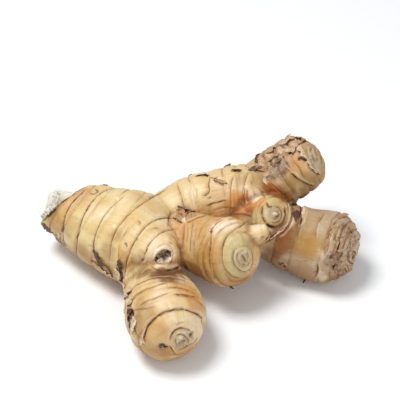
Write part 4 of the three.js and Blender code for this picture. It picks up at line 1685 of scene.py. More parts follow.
class Sock:
    """A shader socket that takes part in sums."""

    def __init__(self, tree: "Shader", socket: bpy.types.NodeSocket) -> None:
        """Keeps the tree and the socket."""
        self.tree = tree
        self.socket = socket

    def _with(self, operation: str, *others: Number) -> "Sock":
        """Adds one Math node."""
        return self.tree.node("ShaderNodeMath", {"operation": operation}, self, *others)

    def __add__(self, other: Number) -> "Sock":
        """The sum."""
        return self._with("ADD", other)

    def __radd__(self, other: float) -> "Sock":
        """The sum."""
        return self._with("ADD", other)

    def __sub__(self, other: Number) -> "Sock":
        """The difference."""
        return self._with("SUBTRACT", other)

    def __rsub__(self, other: float) -> "Sock":
        """The difference, the other way round."""
        return self.tree.node("ShaderNodeMath", {"operation": "SUBTRACT"}, other, self)

    def __mul__(self, other: Number) -> "Sock":
        """The product."""
        return self._with("MULTIPLY", other)

    def __rmul__(self, other: float) -> "Sock":
        """The product."""
        return self._with("MULTIPLY", other)

    def __truediv__(self, other: Number) -> "Sock":
        """The quotient."""
        return self._with("DIVIDE", other)

    def rounded(self) -> "Sock":
        """The nearest whole number."""
        return self._with("ROUND")

    def size(self) -> "Sock":
        """The value without its sign."""
        return self._with("ABSOLUTE")

    def ease(self, low: float, high: float) -> "Sock":
        """Eases from 0 at low to 1 at high; high may be below low.

        Args:
            low: Where the result is 0.
            high: Where the result is 1.

        Returns:
            The eased value.
        """
        start, end, swapped = (low, high, False) if low < high else (high, low, True)
        settings = {"interpolation_type": "SMOOTHSTEP", "clamp": True}
        eased = self.tree.node("ShaderNodeMapRange", settings, self, start, end, 0.0, 1.0)
        return 1.0 - eased if swapped else eased


class Shader:
    """A material's nodes."""

    def __init__(self, name: str) -> None:
        """Starts the material with one Principled BSDF.

        Args:
            name: The material's name.
        """
        self.material = bpy.data.materials.new(name)
        self.material.use_nodes = True
        self.nodes = self.material.node_tree.nodes
        self.links = self.material.node_tree.links
        self.nodes.clear()
        self.output = self.nodes.new("ShaderNodeOutputMaterial")
        self.surface = self.nodes.new("ShaderNodeBsdfPrincipled")
        self.links.new(self.surface.outputs[0], self.output.inputs[0])

    def node(self, kind: str, settings: dict[str, object], *values: object, out: int = 0) -> Sock:
        """Adds a node.

        Args:
            kind: The node's type.
            settings: Its own properties, which are set first.
            *values: What its inputs get, in order: a number, a tuple, a Sock or None.
            out: Which output is returned.

        Returns:
            The output.
        """
        made = self.nodes.new(kind)
        for name, value in settings.items():
            setattr(made, name, value)
        for socket, value in zip([s for s in made.inputs if s.enabled], values):
            self.feed(socket, value)
        return Sock(self, [s for s in made.outputs if s.enabled][out])

    def feed(self, socket: bpy.types.NodeSocket, value: object) -> None:
        """Links or sets one input."""
        if isinstance(value, Sock):
            self.links.new(value.socket, socket)
        elif value is not None:
            socket.default_value = (*value, 1.0) if socket.type == "RGBA" and len(value) == 3 else value

    def coordinates(self) -> Sock:
        """Object coordinates."""
        return self.node("ShaderNodeTexCoord", {}, out=3)

    def attribute(self, name: str) -> Sock:
        """A number that the mesh carries."""
        return self.node("ShaderNodeAttribute", {"attribute_name": name}, out=2)

    def attribute_colour(self, name: str) -> Sock:
        """A colour that the mesh carries."""
        return self.node("ShaderNodeAttribute", {"attribute_name": name}, out=0)

    def uv(self, name: str) -> Sock:
        """A UV map."""
        return self.node("ShaderNodeUVMap", {"uv_map": name})

    def scaled(self, vector: Sock, factors: Point) -> Sock:
        """A vector with each part multiplied."""
        return self.node("ShaderNodeVectorMath", {"operation": "MULTIPLY"}, vector, factors)

    def noise(self, vector: Sock, scale: float, detail: float = 2.0, rough: float = 0.5) -> Sock:
        """Noise between 0 and 1."""
        return self.node("ShaderNodeTexNoise", {"normalize": True}, vector, scale, detail, rough)

    def mix(self, factor: Number, low: object, high: object, mode: str = "MIX") -> Sock:
        """Mixes two colours.

        Args:
            factor: The share of the second.
            low: The first colour.
            high: The second colour.
            mode: How they are mixed.

        Returns:
            The mixed colour.
        """
        made = self.nodes.new("ShaderNodeMix")
        made.data_type = "RGBA"
        made.blend_type = mode
        made.clamp_factor = True
        for socket, value in zip([s for s in made.inputs if s.enabled], (factor, low, high)):
            self.feed(socket, value)
        return Sock(self, [s for s in made.outputs if s.enabled][0])

    def finish(self, colour: object, roughness: object, normal: object = None, **constants: float) -> None:
        """Feeds the surface.

        Args:
            colour: The base colour.
            roughness: The roughness.
            normal: The bumped normal, if any.
            **constants: Other sockets of the surface, named with underscores for spaces.
        """
        self.feed(self.surface.inputs["Base Color"], colour)
        self.feed(self.surface.inputs["Roughness"], roughness)
        self.feed(self.surface.inputs["Normal"], normal)
        for name, value in constants.items():
            self.surface.inputs[name.replace("_", " ")].default_value = value


@dataclass(frozen=True)
class SkinFinish:
    """The thin dry skin of the rhizome: its shade at each place, with brown scars, veins and specks, and
    with painted shade by the rings and in the creases and a painted highlight by each line.
    """

    ochre: tuple[float, float, float] = as_light((236, 208, 160))
    cream: tuple[float, float, float] = as_light((250, 232, 198))
    line: tuple[float, float, float] = as_light((104, 54, 6))
    brown: tuple[float, float, float] = as_light((150, 94, 36))
    # Painted shade: the brown that darkens the creases between lobes.
    crease: tuple[float, float, float] = as_light((130, 76, 30))
    scaly: tuple[float, float, float] = as_light((180, 148, 112))
    scaly_pale: tuple[float, float, float] = as_light((222, 200, 172))
    scaly_dark: tuple[float, float, float] = as_light((98, 68, 50))
    flesh: tuple[float, float, float] = as_light((236, 226, 196))
    black: tuple[float, float, float] = as_light((58, 38, 24))
    roughness: float = 0.42
    gloss: float = 0.45
    bump: float = 0.00035
    clouds: float = 110.0
    chips: float = 430.0
    specks: float = 950.0
    wear: float = 330.0
    pulp: float = 700.0
    lumps: float = 620.0
    pores: float = 1500.0
    along: Point = (1.2, 0.09, 1.0)
    across: Point = (0.08, 1.6, 1.0)
    furrows: Point = (0.3, 1.0, 1.0)
    bands: Point = (0.2, 0.06, 1.0)
    grain: Point = (1.6, 0.35, 1.0)

    def build(self) -> bpy.types.Material:
        """Makes the material.

        Returns:
            The material.
        """
        s = Shader("ginger_skin")
        where = s.coordinates()
        uv = s.uv("skin")
        tint = s.attribute_colour("tint")
        ring, gap = s.attribute("ring"), s.attribute("gap")
        trace, trace_ink = s.attribute("trace"), s.attribute("trace_ink")
        scaly, ink, crease = s.attribute("scaly"), s.attribute("ink"), s.attribute("crease")
        flesh, rim, ring_ink = s.attribute("flesh"), s.attribute("rim"), s.attribute("ring_ink")

        clouds = s.noise(where, self.clouds, 3.0)
        along = s.noise(s.scaled(uv, self.along), 1.0, 3.0, 0.6)
        across = s.noise(s.scaled(uv, self.across), 1.0, 3.0, 0.6)
        specks = s.noise(where, self.specks, 2.0)
        chips = s.noise(where, self.chips, 3.0, 0.65)

        deeper = s.mix(1.0, tint, self.ochre, "MULTIPLY")
        base = s.mix(clouds.ease(0.42, 0.72) * 0.6, tint, deeper)
        base = s.mix(clouds.ease(0.44, 0.26) * 0.4, base, self.cream)
        base = s.mix(along.ease(0.50, 0.70) * 0.45, base, deeper)
        base = s.mix(across.ease(0.54, 0.74) * 0.35, base, deeper)
        base = s.mix(along.ease(0.66, 0.76) * 0.3, base, self.brown)

        furrows = s.noise(s.scaled(uv, self.furrows), 1.0, 4.0, 0.7)
        furrow = (furrows - 0.5).size().ease(0.03, 0.0) * scaly
        hair = (across - 0.5).size().ease(0.012, 0.0) * 0.22
        base = s.mix(hair, base, self.brown)
        rough_skin = s.mix(0.45, s.mix(chips.ease(0.44, 0.60), self.scaly, self.scaly_pale), tint)
        rough_skin = s.mix(chips.ease(0.43, 0.33) * 0.9, rough_skin, self.scaly_dark)
        base = s.mix(scaly * 0.85, base, rough_skin)
        base = s.mix(furrow * 0.75, base, self.scaly_dark)

        offset = (ring - ring.rounded()) * gap
        varied = s.noise(s.scaled(uv, self.bands), 1.0, 2.0)
        width = 0.1 + 0.2 * varied.ease(0.3, 0.7)
        scar = (offset.size() / width).ease(1.5, 0.5) * ring_ink * (0.25 + 0.6 * varied.ease(0.3, 0.6))
        shadow = (offset + 0.45).size().ease(1.2, 0.1) * 0.3 * ring_ink
        base = s.mix(shadow, base, self.brown)
        # Painted shade in the creases between lobes.
        base = s.mix(crease * 0.65, base, self.crease)
        base = s.mix(scar, base, s.mix(varied, self.brown, self.line))
        base = s.mix(specks.ease(0.66, 0.76) * 0.3, base, self.brown)

        worn = s.noise(where, self.wear, 2.0).ease(0.34, 0.58) * 0.5 + 0.5
        cut = trace.size().ease(1.35, 0.35) * trace_ink * worn
        # Brown round each line; round the broad band under the eye it is painted shadow.
        halo = trace.size().ease(5.0, 1.0) * trace_ink * 0.4
        # Painted highlight: a pale band along one side of each line.
        lit = (trace - 2.6).size().ease(1.9, 0.4) * trace_ink * 0.3
        base = s.mix(halo, base, self.brown)
        base = s.mix(lit, base, self.cream)
        base = s.mix(cut, base, s.mix(trace_ink.ease(0.85, 1.05), self.line, self.black))

        pulp = s.mix(s.noise(where, self.pulp, 3.0), self.flesh, self.cream)
        base = s.mix(flesh, base, pulp)
        base = s.mix(rim, base, self.black)
        lumps = s.noise(where, self.lumps, 3.0, 0.6).ease(0.48, 0.60)
        base = s.mix(ink, base, s.mix(lumps, self.black, self.scaly))

        grain = s.noise(s.scaled(uv, self.grain), 1.0, 4.0, 0.65)
        pores = s.noise(where, self.pores, 2.0)
        raised = grain * 0.45 + across * 0.4 + pores * 0.14 + chips * scaly * 0.9
        relief = raised - cut * 0.5 - scar * 0.4 - furrow * 0.5
        normal = s.node("ShaderNodeBump", {}, 0.5, self.bump, relief)
        shine = self.roughness + 0.12 * clouds.ease(0.3, 0.7) + 0.22 * scaly + 0.3 * cut
        s.finish(base, shine, normal, Specular_IOR_Level=self.gloss)
        return s.material


class RhizomeSkin:
    """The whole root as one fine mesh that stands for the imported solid."""

    COARSE = 0.9
    FINE = 0.57
    TRACE_REACH = 3.0
    GROOVE_LEAST = 0.48
    GROOVE_SPREAD = 1.3
    PIT_SHARPNESS = 1.6
    SKIN_DEPTH = 3.0
    SHADE_BLEND = 1.6
    # Painted shade: the colour that darkens the undersides, and how much of it they get.
    PAINTED_UNDERSIDE_SHADE = as_light((196, 162, 112))
    PAINTED_UNDERSIDE_SHARE = 0.8
    NAME = "rhizome_skin"
    BASE = {
        "stump": Shade.YELLOW,
        "eye": Shade.CREAM,
        "front_finger": Shade.CREAM,
        "middle_finger": Shade.TAN,
        "knob": Shade.CREAM,
        "back_arm": Shade.CREAM,
        "top_finger": Shade.GOLD,
        "side_bud": Shade.GREEN,
        "right_lobe": Shade.LILAC,
        "heel": Shade.TAN,
    }

    def __init__(self, skin: Skin, finish: SkinFinish) -> None:
        """Keeps the shape and the finish.

        Args:
            skin: The root's shape.
            finish: The material's finish.
        """
        self.skin = skin
        self.finish = finish
        self.tree = KDTree(len(skin.traces.points))
        for i, point in enumerate(skin.traces.points):
            self.tree.insert(point, i)
        self.tree.balance()

    def build(self, solid: bpy.types.Object) -> bpy.types.Object:
        """Makes the piece.

        Args:
            solid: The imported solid.

        Returns:
            The finished piece.
        """
        piece = solid.copy()
        piece.data = solid.data.copy()
        piece.parent = None
        piece.name = self.NAME
        piece.data.name = self.NAME
        for key in list(piece.keys()):
            del piece[key]
        bpy.context.scene.collection.objects.link(piece)
        Bench.hold(piece)
        bpy.ops.object.mode_set(mode="EDIT")
        bpy.ops.mesh.select_all(action="SELECT")
        bpy.ops.mesh.remove_doubles(threshold=1e-6)
        bpy.ops.object.mode_set(mode="OBJECT")
        self._remesh(piece, self.COARSE)
        self._settle(piece, 3, fine=False)
        self._remesh(piece, self.FINE)
        self._settle(piece, 2, fine=False)
        bare = Bench.read(piece)
        self._settle(piece, 2, fine=True)
        self._cut_marks(piece)
        self._mark(piece, bare)
        Bench.smooth(piece)
        piece.data.materials.clear()
        piece.data.materials.append(self.finish.build())
        return piece

    def _remesh(self, piece: bpy.types.Object, size: float) -> None:
        """Rebuilds the mesh from even cells of a size in millimetres."""
        Bench.modify(piece, "REMESH", mode="VOXEL", voxel_size=size * MM, adaptivity=0.0)

    def _settle(self, piece: bpy.types.Object, rounds: int, fine: bool) -> None:
        """Moves each vertex onto the skin, and none below the surface that the root lies on.

        Args:
            piece: The mesh.
            rounds: How often the move is repeated.
            fine: Whether the fine relief counts.
        """
        points, _ = self.skin.settle(Bench.read(piece), rounds, fine)
        points[:, 2] = np.maximum(points[:, 2], 0.0)
        Bench.write(piece, points)

    def _nearest(self, points: np.ndarray) -> tuple[np.ndarray, np.ndarray, np.ndarray]:
        """The nearest point of the lines.

        Args:
            points: Positions.

        Returns:
            Its number, the sideways offset from it and how far past the line's end the position is.
        """
        near = np.array([self.tree.find(point)[1] for point in points])
        offset = points - self.skin.traces.points[near]
        aside = (offset * self.skin.traces.sides[near]).sum(1)
        past = np.abs((offset * self.skin.traces.tangents[near]).sum(1))
        return near, aside, past

    def _cut_marks(self, piece: bpy.types.Object) -> None:
        """Cuts the lines and pits in the mesh.

        Args:
            piece: The mesh.
        """
        points = Bench.read(piece)
        _, normal, _, _ = self.skin.measure(points, False)
        near, aside, past = self._nearest(points)
        traces = self.skin.traces
        breadth = np.maximum(self.GROOVE_LEAST, self.GROOVE_SPREAD * traces.width[near])
        fade = blend(0.9, 0.3, past) * blend(self.TRACE_REACH, self.TRACE_REACH - 1.0, np.abs(aside))
        groove = -traces.depth[near] * np.exp(-((aside / breadth) ** 2))
        slope = np.exp(-np.maximum(aside, 0) / self.skin.STEP_RUN)
        step = np.where(aside > 0, traces.step[near] * slope, 0)
        moved = (groove + step * blend(-0.1, 0.4, aside)) * fade
        for centre, pit in zip(self.skin.pits, PITS):
            away = np.linalg.norm(points - centre, axis=1) / pit.radius
            moved = moved - pit.depth * np.exp(-self.PIT_SHARPNESS * away**2)
        points = points + normal * moved[:, None]
        points[:, 2] = np.maximum(points[:, 2], 0.0)
        Bench.write(piece, points)

    def _mark(self, piece: bpy.types.Object, bare: np.ndarray) -> None:
        """Writes what the finish reads: the rings, the lines, the UV map, the shade and the masks.

        Args:
            piece: The mesh.
            bare: Its vertices before the fine relief.
        """
        mesh = piece.data
        _, _, first, open_skin = self.skin.measure(bare, False)
        corners = np.empty(len(mesh.loops), dtype=np.int64)
        mesh.loops.foreach_get("vertex_index", corners)
        starts = np.empty(len(mesh.polygons), dtype=np.int64)
        totals = np.empty(len(mesh.polygons), dtype=np.int64)
        mesh.polygons.foreach_get("loop_start", starts)
        mesh.polygons.foreach_get("loop_total", totals)
        owner = np.repeat(first[corners[starts]], totals)
        lead = np.repeat(starts, totals)
        ring, gap = np.zeros(len(corners)), np.ones(len(corners))
        uv = np.zeros((len(corners), 2))
        for i, lobe in enumerate(LOBES):
            mine = owner == i
            if not mine.any():
                continue
            used = np.unique(corners[mine])
            place = self.skin.shapes[lobe.name].locate(bare[used])
            where = np.full(len(bare), -1)
            where[used] = np.arange(len(used))
            at = where[corners[mine]]
            index, spacing = self._ring_index(lobe, self.skin.wandered(place))
            ring[mine], gap[mine] = index[at] + 20 * i, spacing[at]
            angle = place.angle[at]
            first_angle = place.angle[where[corners[lead[mine]]]]
            angle = angle + 2 * math.pi * np.round((first_angle - angle) / (2 * math.pi))
            uv[mine, 0] = angle * self.skin.GIRTH + 100.0 * i
            uv[mine, 1] = place.skin[at]
        trace, trace_ink = self._line_offsets(bare, corners, starts, totals)
        masks = {
            "scaly": self.skin.scaliness(bare),
            # Where lobes meet in a crease: the mask of the painted shade there.
            "crease": blend(2.0, 0.1, open_skin),
            "ink": self._ink(bare),
            "ring_ink": self._ring_ink(bare, first),
        }
        masks.update(self._broken_masks(bare))
        for name, values in masks.items():
            attribute = mesh.attributes.new(name, "FLOAT", "POINT")
            attribute.data.foreach_set("value", values.astype(np.float32))
        for name, values in (("ring", ring), ("gap", gap), ("trace", trace), ("trace_ink", trace_ink)):
            attribute = mesh.attributes.new(name, "FLOAT", "CORNER")
            attribute.data.foreach_set("value", values.astype(np.float32))
        tint = mesh.attributes.new("tint", "FLOAT_COLOR", "POINT")
        tint.data.foreach_set("color", self._tint(bare).astype(np.float32).ravel())
        layer = mesh.uv_layers.new(name="skin")
        layer.data.foreach_set("uv", uv.astype(np.float32).ravel())

    @staticmethod
    def _ring_index(lobe: Lobe, wandered: np.ndarray) -> tuple[np.ndarray, np.ndarray]:
        """Counts the rings from the tip, with a whole number at each.

        Args:
            lobe: The lobe.
            wandered: Ring coordinates.

        Returns:
            The count, and how many millimetres one more ring is there.
        """
        scars = np.array(lobe.scars)
        tail = scars[-1] - scars[-2]
        at = np.concatenate([[0.0], scars, [scars[-1] + tail]])
        count = np.concatenate([[0.5], np.arange(1, len(scars) + 1), [len(scars) + 0.49]])
        k = np.clip(np.searchsorted(at, wandered, side="right"), 1, len(at) - 1)
        spacing = (at[k] - at[k - 1]) / (count[k] - count[k - 1])
        return np.interp(wandered, at, count), spacing

    def _line_offsets(
        self, points: np.ndarray, corners: np.ndarray, starts: np.ndarray, totals: np.ndarray
    ) -> tuple[np.ndarray, np.ndarray]:
        """Each face corner's offset from the nearest line, in widths of that line, and the line's ink.

        Args:
            points: The mesh's vertices.
            corners: The vertex at each face corner.
            starts: Each face's first corner.
            totals: How many corners each face has.

        Returns:
            Offsets and inks, one for each corner.
        """
        owners = np.repeat(np.arange(len(starts)), totals)
        middles = np.zeros((len(starts), 3))
        np.add.at(middles, owners, points[corners])
        middles /= totals[:, None]
        near, _, past = self._nearest(middles)
        traces = self.skin.traces
        offset = points[corners] - traces.points[near][owners]
        aside = (offset * traces.sides[near][owners]).sum(1)
        away = np.linalg.norm(middles - traces.points[near], axis=1)
        fade = blend(0.8, 0.25, past) * blend(self.TRACE_REACH, self.TRACE_REACH - 0.5, away)
        ink = traces.ink[near] * fade
        width = np.maximum(traces.width[near][owners], 0.08)
        return np.clip(aside / width, -30, 30), ink[owners]

    def _ring_ink(self, points: np.ndarray, first: np.ndarray) -> np.ndarray:
        """How dark the lobes' own rings are: faint beside a traced line, so that no scar shows twice.

        Args:
            points: Positions.
            first: The number of each point's lobe.

        Returns:
            The darkness at each.
        """
        near, _, _ = self._nearest(points)
        away = np.linalg.norm(points - self.skin.traces.points[near], axis=1)
        inks = np.array([lobe.ring_ink for lobe in LOBES])[first]
        return inks * blend(1.0, 3.6, away)

    def _ink(self, points: np.ndarray) -> np.ndarray:
        """The dark insides of pits and hollows.

        Args:
            points: Positions.

        Returns:
            The darkness at each.
        """
        ink = np.zeros(len(points))
        for centre, pit in zip(self.skin.pits, PITS):
            away = np.linalg.norm(points - centre, axis=1) / pit.radius
            ink = np.maximum(ink, pit.ink * blend(1.1, 0.5, away))
        for hollow in HOLLOWS:
            centre, _ = self.skin.shapes[hollow.lobe].point_at(hollow.ring, hollow.angle)
            away = np.linalg.norm(points - centre, axis=1) / hollow.radius
            ink = np.maximum(ink, hollow.ink * blend(1.02, 0.8, away))
        return ink

    def _tint(self, points: np.ndarray) -> np.ndarray:
        """The shade of each point: its lobe's own, with the patches over it, some of them painted shade or
        painted highlights, and painted shade darkening the undersides.

        Args:
            points: Positions.

        Returns:
            Rows of red, green, blue and alpha.
        """
        weights = np.zeros((len(LOBES), len(points)))
        for i, lobe in enumerate(LOBES):
            mask = self.skin.shapes[lobe.name].reach(points, self.skin.MARGIN)
            place = self.skin.shapes[lobe.name].locate(points[mask])
            outside = np.maximum(place.height + self.SKIN_DEPTH, 0.0)
            weights[i, mask] = np.exp(-outside / self.SHADE_BLEND)
        shades = np.array([as_light(self.BASE[lobe.name].value) for lobe in LOBES])
        colour = (weights.T @ shades) / np.maximum(weights.sum(0), 1e-9)[:, None]
        inside = self.skin.patch(self.skin.patch_centres, STAINS_AND_PAINTED_LIGHT, points)
        for colour_patch, row in zip(STAINS_AND_PAINTED_LIGHT, inside):
            share = (colour_patch.strength * row)[:, None]
            colour = colour * (1 - share) + np.array(as_light(colour_patch.shade.value)) * share
        # Painted shade: the more a place faces down, the darker and browner its colour.
        _, normal, _, _ = self.skin.measure(points, False)
        under = (self.PAINTED_UNDERSIDE_SHARE * blend(0.35, -0.55, normal[:, 2]))[:, None]
        colour = colour * (1 - under) + colour * np.array(self.PAINTED_UNDERSIDE_SHADE) * under
        return np.hstack([colour, np.ones((len(points), 1))])

    def _broken_masks(self, points: np.ndarray) -> dict[str, np.ndarray]:
        """The bare flesh of the broken face and its dark rim.

        Args:
            points: Positions.

        Returns:
            The two masks, under their names.
        """
        broken = self.skin.broken
        local = (points - np.array(broken.centre)) @ broken.axes().T
        flat = np.hypot(local[:, 0], local[:, 2])
        near = flat < broken.reach
        below = -local[:, 1]
        to_edge = -self.skin.shapes["stump"].locate(points).height
        flesh = near * blend(0.9, 0.5, below) * blend(0.3, 1.0, to_edge)
        flesh = np.maximum(flesh, near * blend(9.0, 8.0, flat) * blend(2.6, 1.8, below))
        rim = near * blend(broken.rim, broken.rim * 0.3, below) * (1 - flesh) * 0.8
        return {"flesh": flesh, "rim": rim}


@dataclass(frozen=True)
class Flap:
    """A torn flap of dead leaf scale: a thin sheet from its root to its torn edge.

    Root and edge are traced on the photograph's pixels or, where on names a lobe, in (ring, degrees).
    Lift is how far the edge stands off, and pale how light its face is.
    """

    root: tuple[Pixel, ...]
    edge: tuple[Pixel, ...]
    lift: float = 0.8
    pale: float = 0.5
    on: str = ""


FLAPS = (
    # Pale sheets along the side bud's lip: its pale rim, with a painted highlight along it.
    Flap(
        ((289, 202), (292, 212), (290, 222), (284, 230)),
        ((287, 204), (290, 212), (288, 221), (282.5, 228)),
        0.5, 1.0,
    ),
    Flap(((284, 230), (278, 235), (270, 240)), ((282.5, 228), (277, 233), (269.5, 238)), 0.5, 0.95),
    Flap(((44, 221), (48, 226), (54, 232)), ((41.5, 223.5), (46, 229.5), (52, 235)), 0.7, 0.05),
    Flap(((56, 233), (62, 239), (68, 245)), ((54, 236), (60, 242), (67, 248)), 0.5, 0.3),
    Flap(((92, 250), (94.5, 260), (101, 270)), ((97, 249), (102, 260), (107, 271)), 1.1, 0.0),
    Flap(((96, 264), (102, 271), (109, 277)), ((103, 262), (109, 269.5), (115, 276)), 1.2, 0.3),
    Flap(((100, 271), (106, 275), (113, 280)), ((102, 267), (108, 271.5), (115, 277)), 0.8, 0.9),
    Flap(((90, 262), (96, 267), (102, 272)), ((91, 259), (97, 264), (103, 268)), 0.9, 0.5),
    Flap(((113, 269), (115, 275), (117.5, 282)), ((118, 266), (120.5, 273), (122, 281)), 1.1, 0.9),
    Flap(((115.5, 260), (116, 266), (119, 272)), ((121.5, 259), (122.5, 265), (122, 271)), 1.0, 0.0),
    Flap(((119, 272), (120, 277), (121, 283)), ((122.5, 271), (123.5, 276), (124, 282)), 0.7, 0.05),
    Flap(((117, 281), (119.5, 285), (122.5, 290)), ((120, 278), (124, 283), (126, 289)), 0.8, 0.8),
    Flap(((172.5, 214), (177, 218), (181.5, 222)), ((174.5, 211), (179, 214.5), (183.5, 218.5)), 1.0, 0.6),
    Flap(((175, 210.5), (180, 213), (185, 216)), ((177.5, 207.5), (182.5, 210), (187, 213)), 1.0, 0.5),
    Flap(((182, 206), (187, 206), (192, 208)), ((181, 209), (186, 210), (190.5, 211.5)), 0.9, 0.25),
    Flap(
        ((185.5, 221.5), (190.5, 219), (196.5, 216.5)),
        ((185, 218), (190, 215.5), (195.5, 213.5)),
        0.9, 0.5,
    ),
    Flap(((182, 222.5), (184, 224), (186.5, 223.3)), ((182, 220.2), (184.2, 220), (186.8, 220.4)), 1.1, 0.9),
    Flap(((188, 210), (192, 209.5), (197, 210)), ((188.5, 212.6), (192.5, 212.4), (197, 212.4)), 0.7, 0.35),
    Flap(((176, 206), (178, 210), (180, 214)), ((179, 205), (182, 209), (184, 212)), 0.8, 0.15),
    Flap(((122, 300), (123.5, 292), (127, 286)), ((128, 301), (130.5, 294), (132, 287)), 1.1, 0.75),
    Flap(((124, 313), (125, 305), (129, 298)), ((129.5, 314), (131, 306), (134, 300)), 1.0, 0.7),
    Flap(((126.5, 322), (126, 314), (128, 308)), ((130.5, 322), (131, 315), (132.5, 309)), 1.0, 0.1),
    Flap(((130, 333), (129.5, 324), (131.5, 316)), ((134.5, 333), (134.5, 325), (137, 317)), 0.9, 0.85),
    Flap(((135.5, 343), (137.5, 337), (141, 334)), ((141, 348), (144, 343), (146, 338.5)), 0.8, 0.7),
    Flap(((158, 350), (163, 351), (168, 349)), ((160, 346), (164, 346.5), (168, 345)), 0.6, 0.3),
    Flap(((157, 261.5), (160, 263.5), (164, 262.5)), ((157, 258.6), (160, 259.6), (163.5, 259)), 0.7, 1.0),
    Flap(((195, 175.5), (203, 173.2), (210, 174.6)), ((196, 177), (203, 175.4), (209.5, 176.6)), 0.7, 0.1),
    Flap(((215, 176), (222, 178.3), (228, 182)), ((214, 179.5), (221, 182.3), (227, 185.5)), 0.7, 0.6),
    Flap(((231, 168.6), (237, 168), (242.5, 168.8)), ((231, 170.4), (237, 170.6), (242, 171)), 0.7, 0.0),
    Flap(((247, 169), (253, 165), (261, 165.5)), ((250, 172), (256, 170), (264, 170)), 1.1, 0.15),
    Flap(((258, 164), (262, 166.5), (268, 169)), ((254, 168), (260, 171), (266, 174)), 1.0, 0.35),
    Flap(((257.5, 163.5), (257, 158), (261, 152)), ((256, 164), (255.6, 158), (259.5, 151.5)), 0.7, 0.05),
    Flap(((266.5, 175), (266, 180), (267.5, 185)), ((264, 176), (263.6, 180), (265, 184)), 0.8, 0.9),
    Flap(((270, 163), (275, 160), (281, 157)), ((270, 167), (276, 165), (282, 161.5)), 0.9, 0.25),
    Flap(((284, 150), (289, 156), (290.5, 164)), ((280.5, 153), (285, 160), (287, 167)), 1.0, 0.6),
    Flap(((284, 151), (290, 147.5), (297, 144)), ((287, 155), (292.5, 152.5), (297.5, 149.5)), 1.1, 0.7),
    Flap(((302, 144), (305, 151), (308, 158)), ((297, 145.5), (299.5, 153), (304.5, 160)), 1.3, 0.85),
    Flap(((308, 158), (312, 165), (318, 171)), ((305, 160.5), (309.5, 168.5), (316, 174.5)), 0.9, 0.8),
    Flap(((276, 142), (284, 138.6), (291, 137)), ((279, 146), (286, 143), (293, 141)), 1.0, 0.7),
    Flap(((290, 136.5), (299, 135), (307, 137)), ((291, 141), (299, 141), (304, 142)), 1.0, 0.5),
    Flap(((262, 152), (269, 146.5), (276, 143)), ((266, 156), (272, 151), (279, 147)), 1.0, 0.6),
    Flap(((266, 160), (271, 155), (277, 152)), ((269, 163), (274, 158), (280, 155)), 0.9, 0.5),
    Flap(((262, 171), (266, 169), (271, 168)), ((261, 176), (266, 175.5), (272, 174)), 0.9, 0.6),
    Flap(((291, 207), (296, 206), (301, 205)), ((293, 221), (298, 222), (301, 219)), 0.35, 0.0),
    Flap(((307, 204), (306, 211), (304, 219)), ((303.5, 204), (302, 211), (300.5, 219)), 0.8, 0.9),
    Flap(((340, 221), (336, 229), (331, 238)), ((336, 219), (331.5, 227), (327.5, 236)), 0.8, 0.6),
    Flap(((331, 238), (329, 247), (327, 256)), ((327, 237), (325, 246), (323.5, 254)), 0.7, 0.5),
    Flap(((348, 235), (345, 243), (341, 251)), ((343.5, 234), (340, 242), (336, 250)), 1.0, 0.6),
    Flap(((351, 224), (353, 230), (355, 237)), ((347, 225), (348.5, 231), (350.5, 238)), 1.0, 0.4),
    Flap(((355, 240), (353.5, 246), (353, 252)), ((351, 239), (349.5, 246), (349, 251)), 0.8, 0.6),
    Flap(((333, 254), (338, 252), (343, 251)), ((332, 260), (338, 259.5), (343, 258)), 0.9, 0.2),
    Flap(((338, 265), (341, 268), (343, 273)), ((333, 266), (336, 271), (338, 276)), 0.8, 0.25),
    Flap(((345, 264), (349, 266), (353, 265)), ((344, 270), (349, 272), (354, 269)), 0.8, 0.5),
    Flap(((12, 150), (12, 180), (12, 205)), ((9, 152), (9, 180), (9.5, 203)), 0.7, 0.5, "right_lobe"),
    Flap(
        ((20.5, 100), (20.5, 125), (20.5, 150)),
        ((17, 102), (17.5, 125), (18, 148)),
        0.8, 0.4, "right_lobe",
    ),
    Flap(((28, 180), (28, 210), (28, 235)), ((25, 183), (24.5, 210), (25.5, 232)), 0.8, 0.4, "right_lobe"),
    Flap(
        ((18.5, 120), (18.5, 150), (18.5, 175)),
        ((15.5, 122), (15, 148), (15.5, 172)),
        0.8, 0.4, "top_finger",
    ),
    Flap(
        ((13.5, 200), (13.5, 225), (13.5, 250)),
        ((11, 203), (10.5, 225), (11, 246)),
        0.7, 0.5, "top_finger",
    ),
    Flap(((30, 120), (30, 150), (30, 180)), ((27, 124), (26.5, 150), (27, 176)), 0.9, 0.3, "back_arm"),
    Flap(
        ((43.5, 130), (43.5, 155), (43.5, 180)),
        ((40.5, 133), (40.5, 156), (41, 177)),
        0.8, 0.4, "back_arm",
    ),
    Flap(((44.5, 165), (44.5, 190), (44.5, 215)), ((41.5, 168), (41.5, 190), (42, 211)), 0.9, 0.3, "stump"),
    Flap(((53, 130), (53, 150), (53, 172)), ((50, 133), (50.5, 150), (50.5, 169)), 0.8, 0.4, "stump"),
)


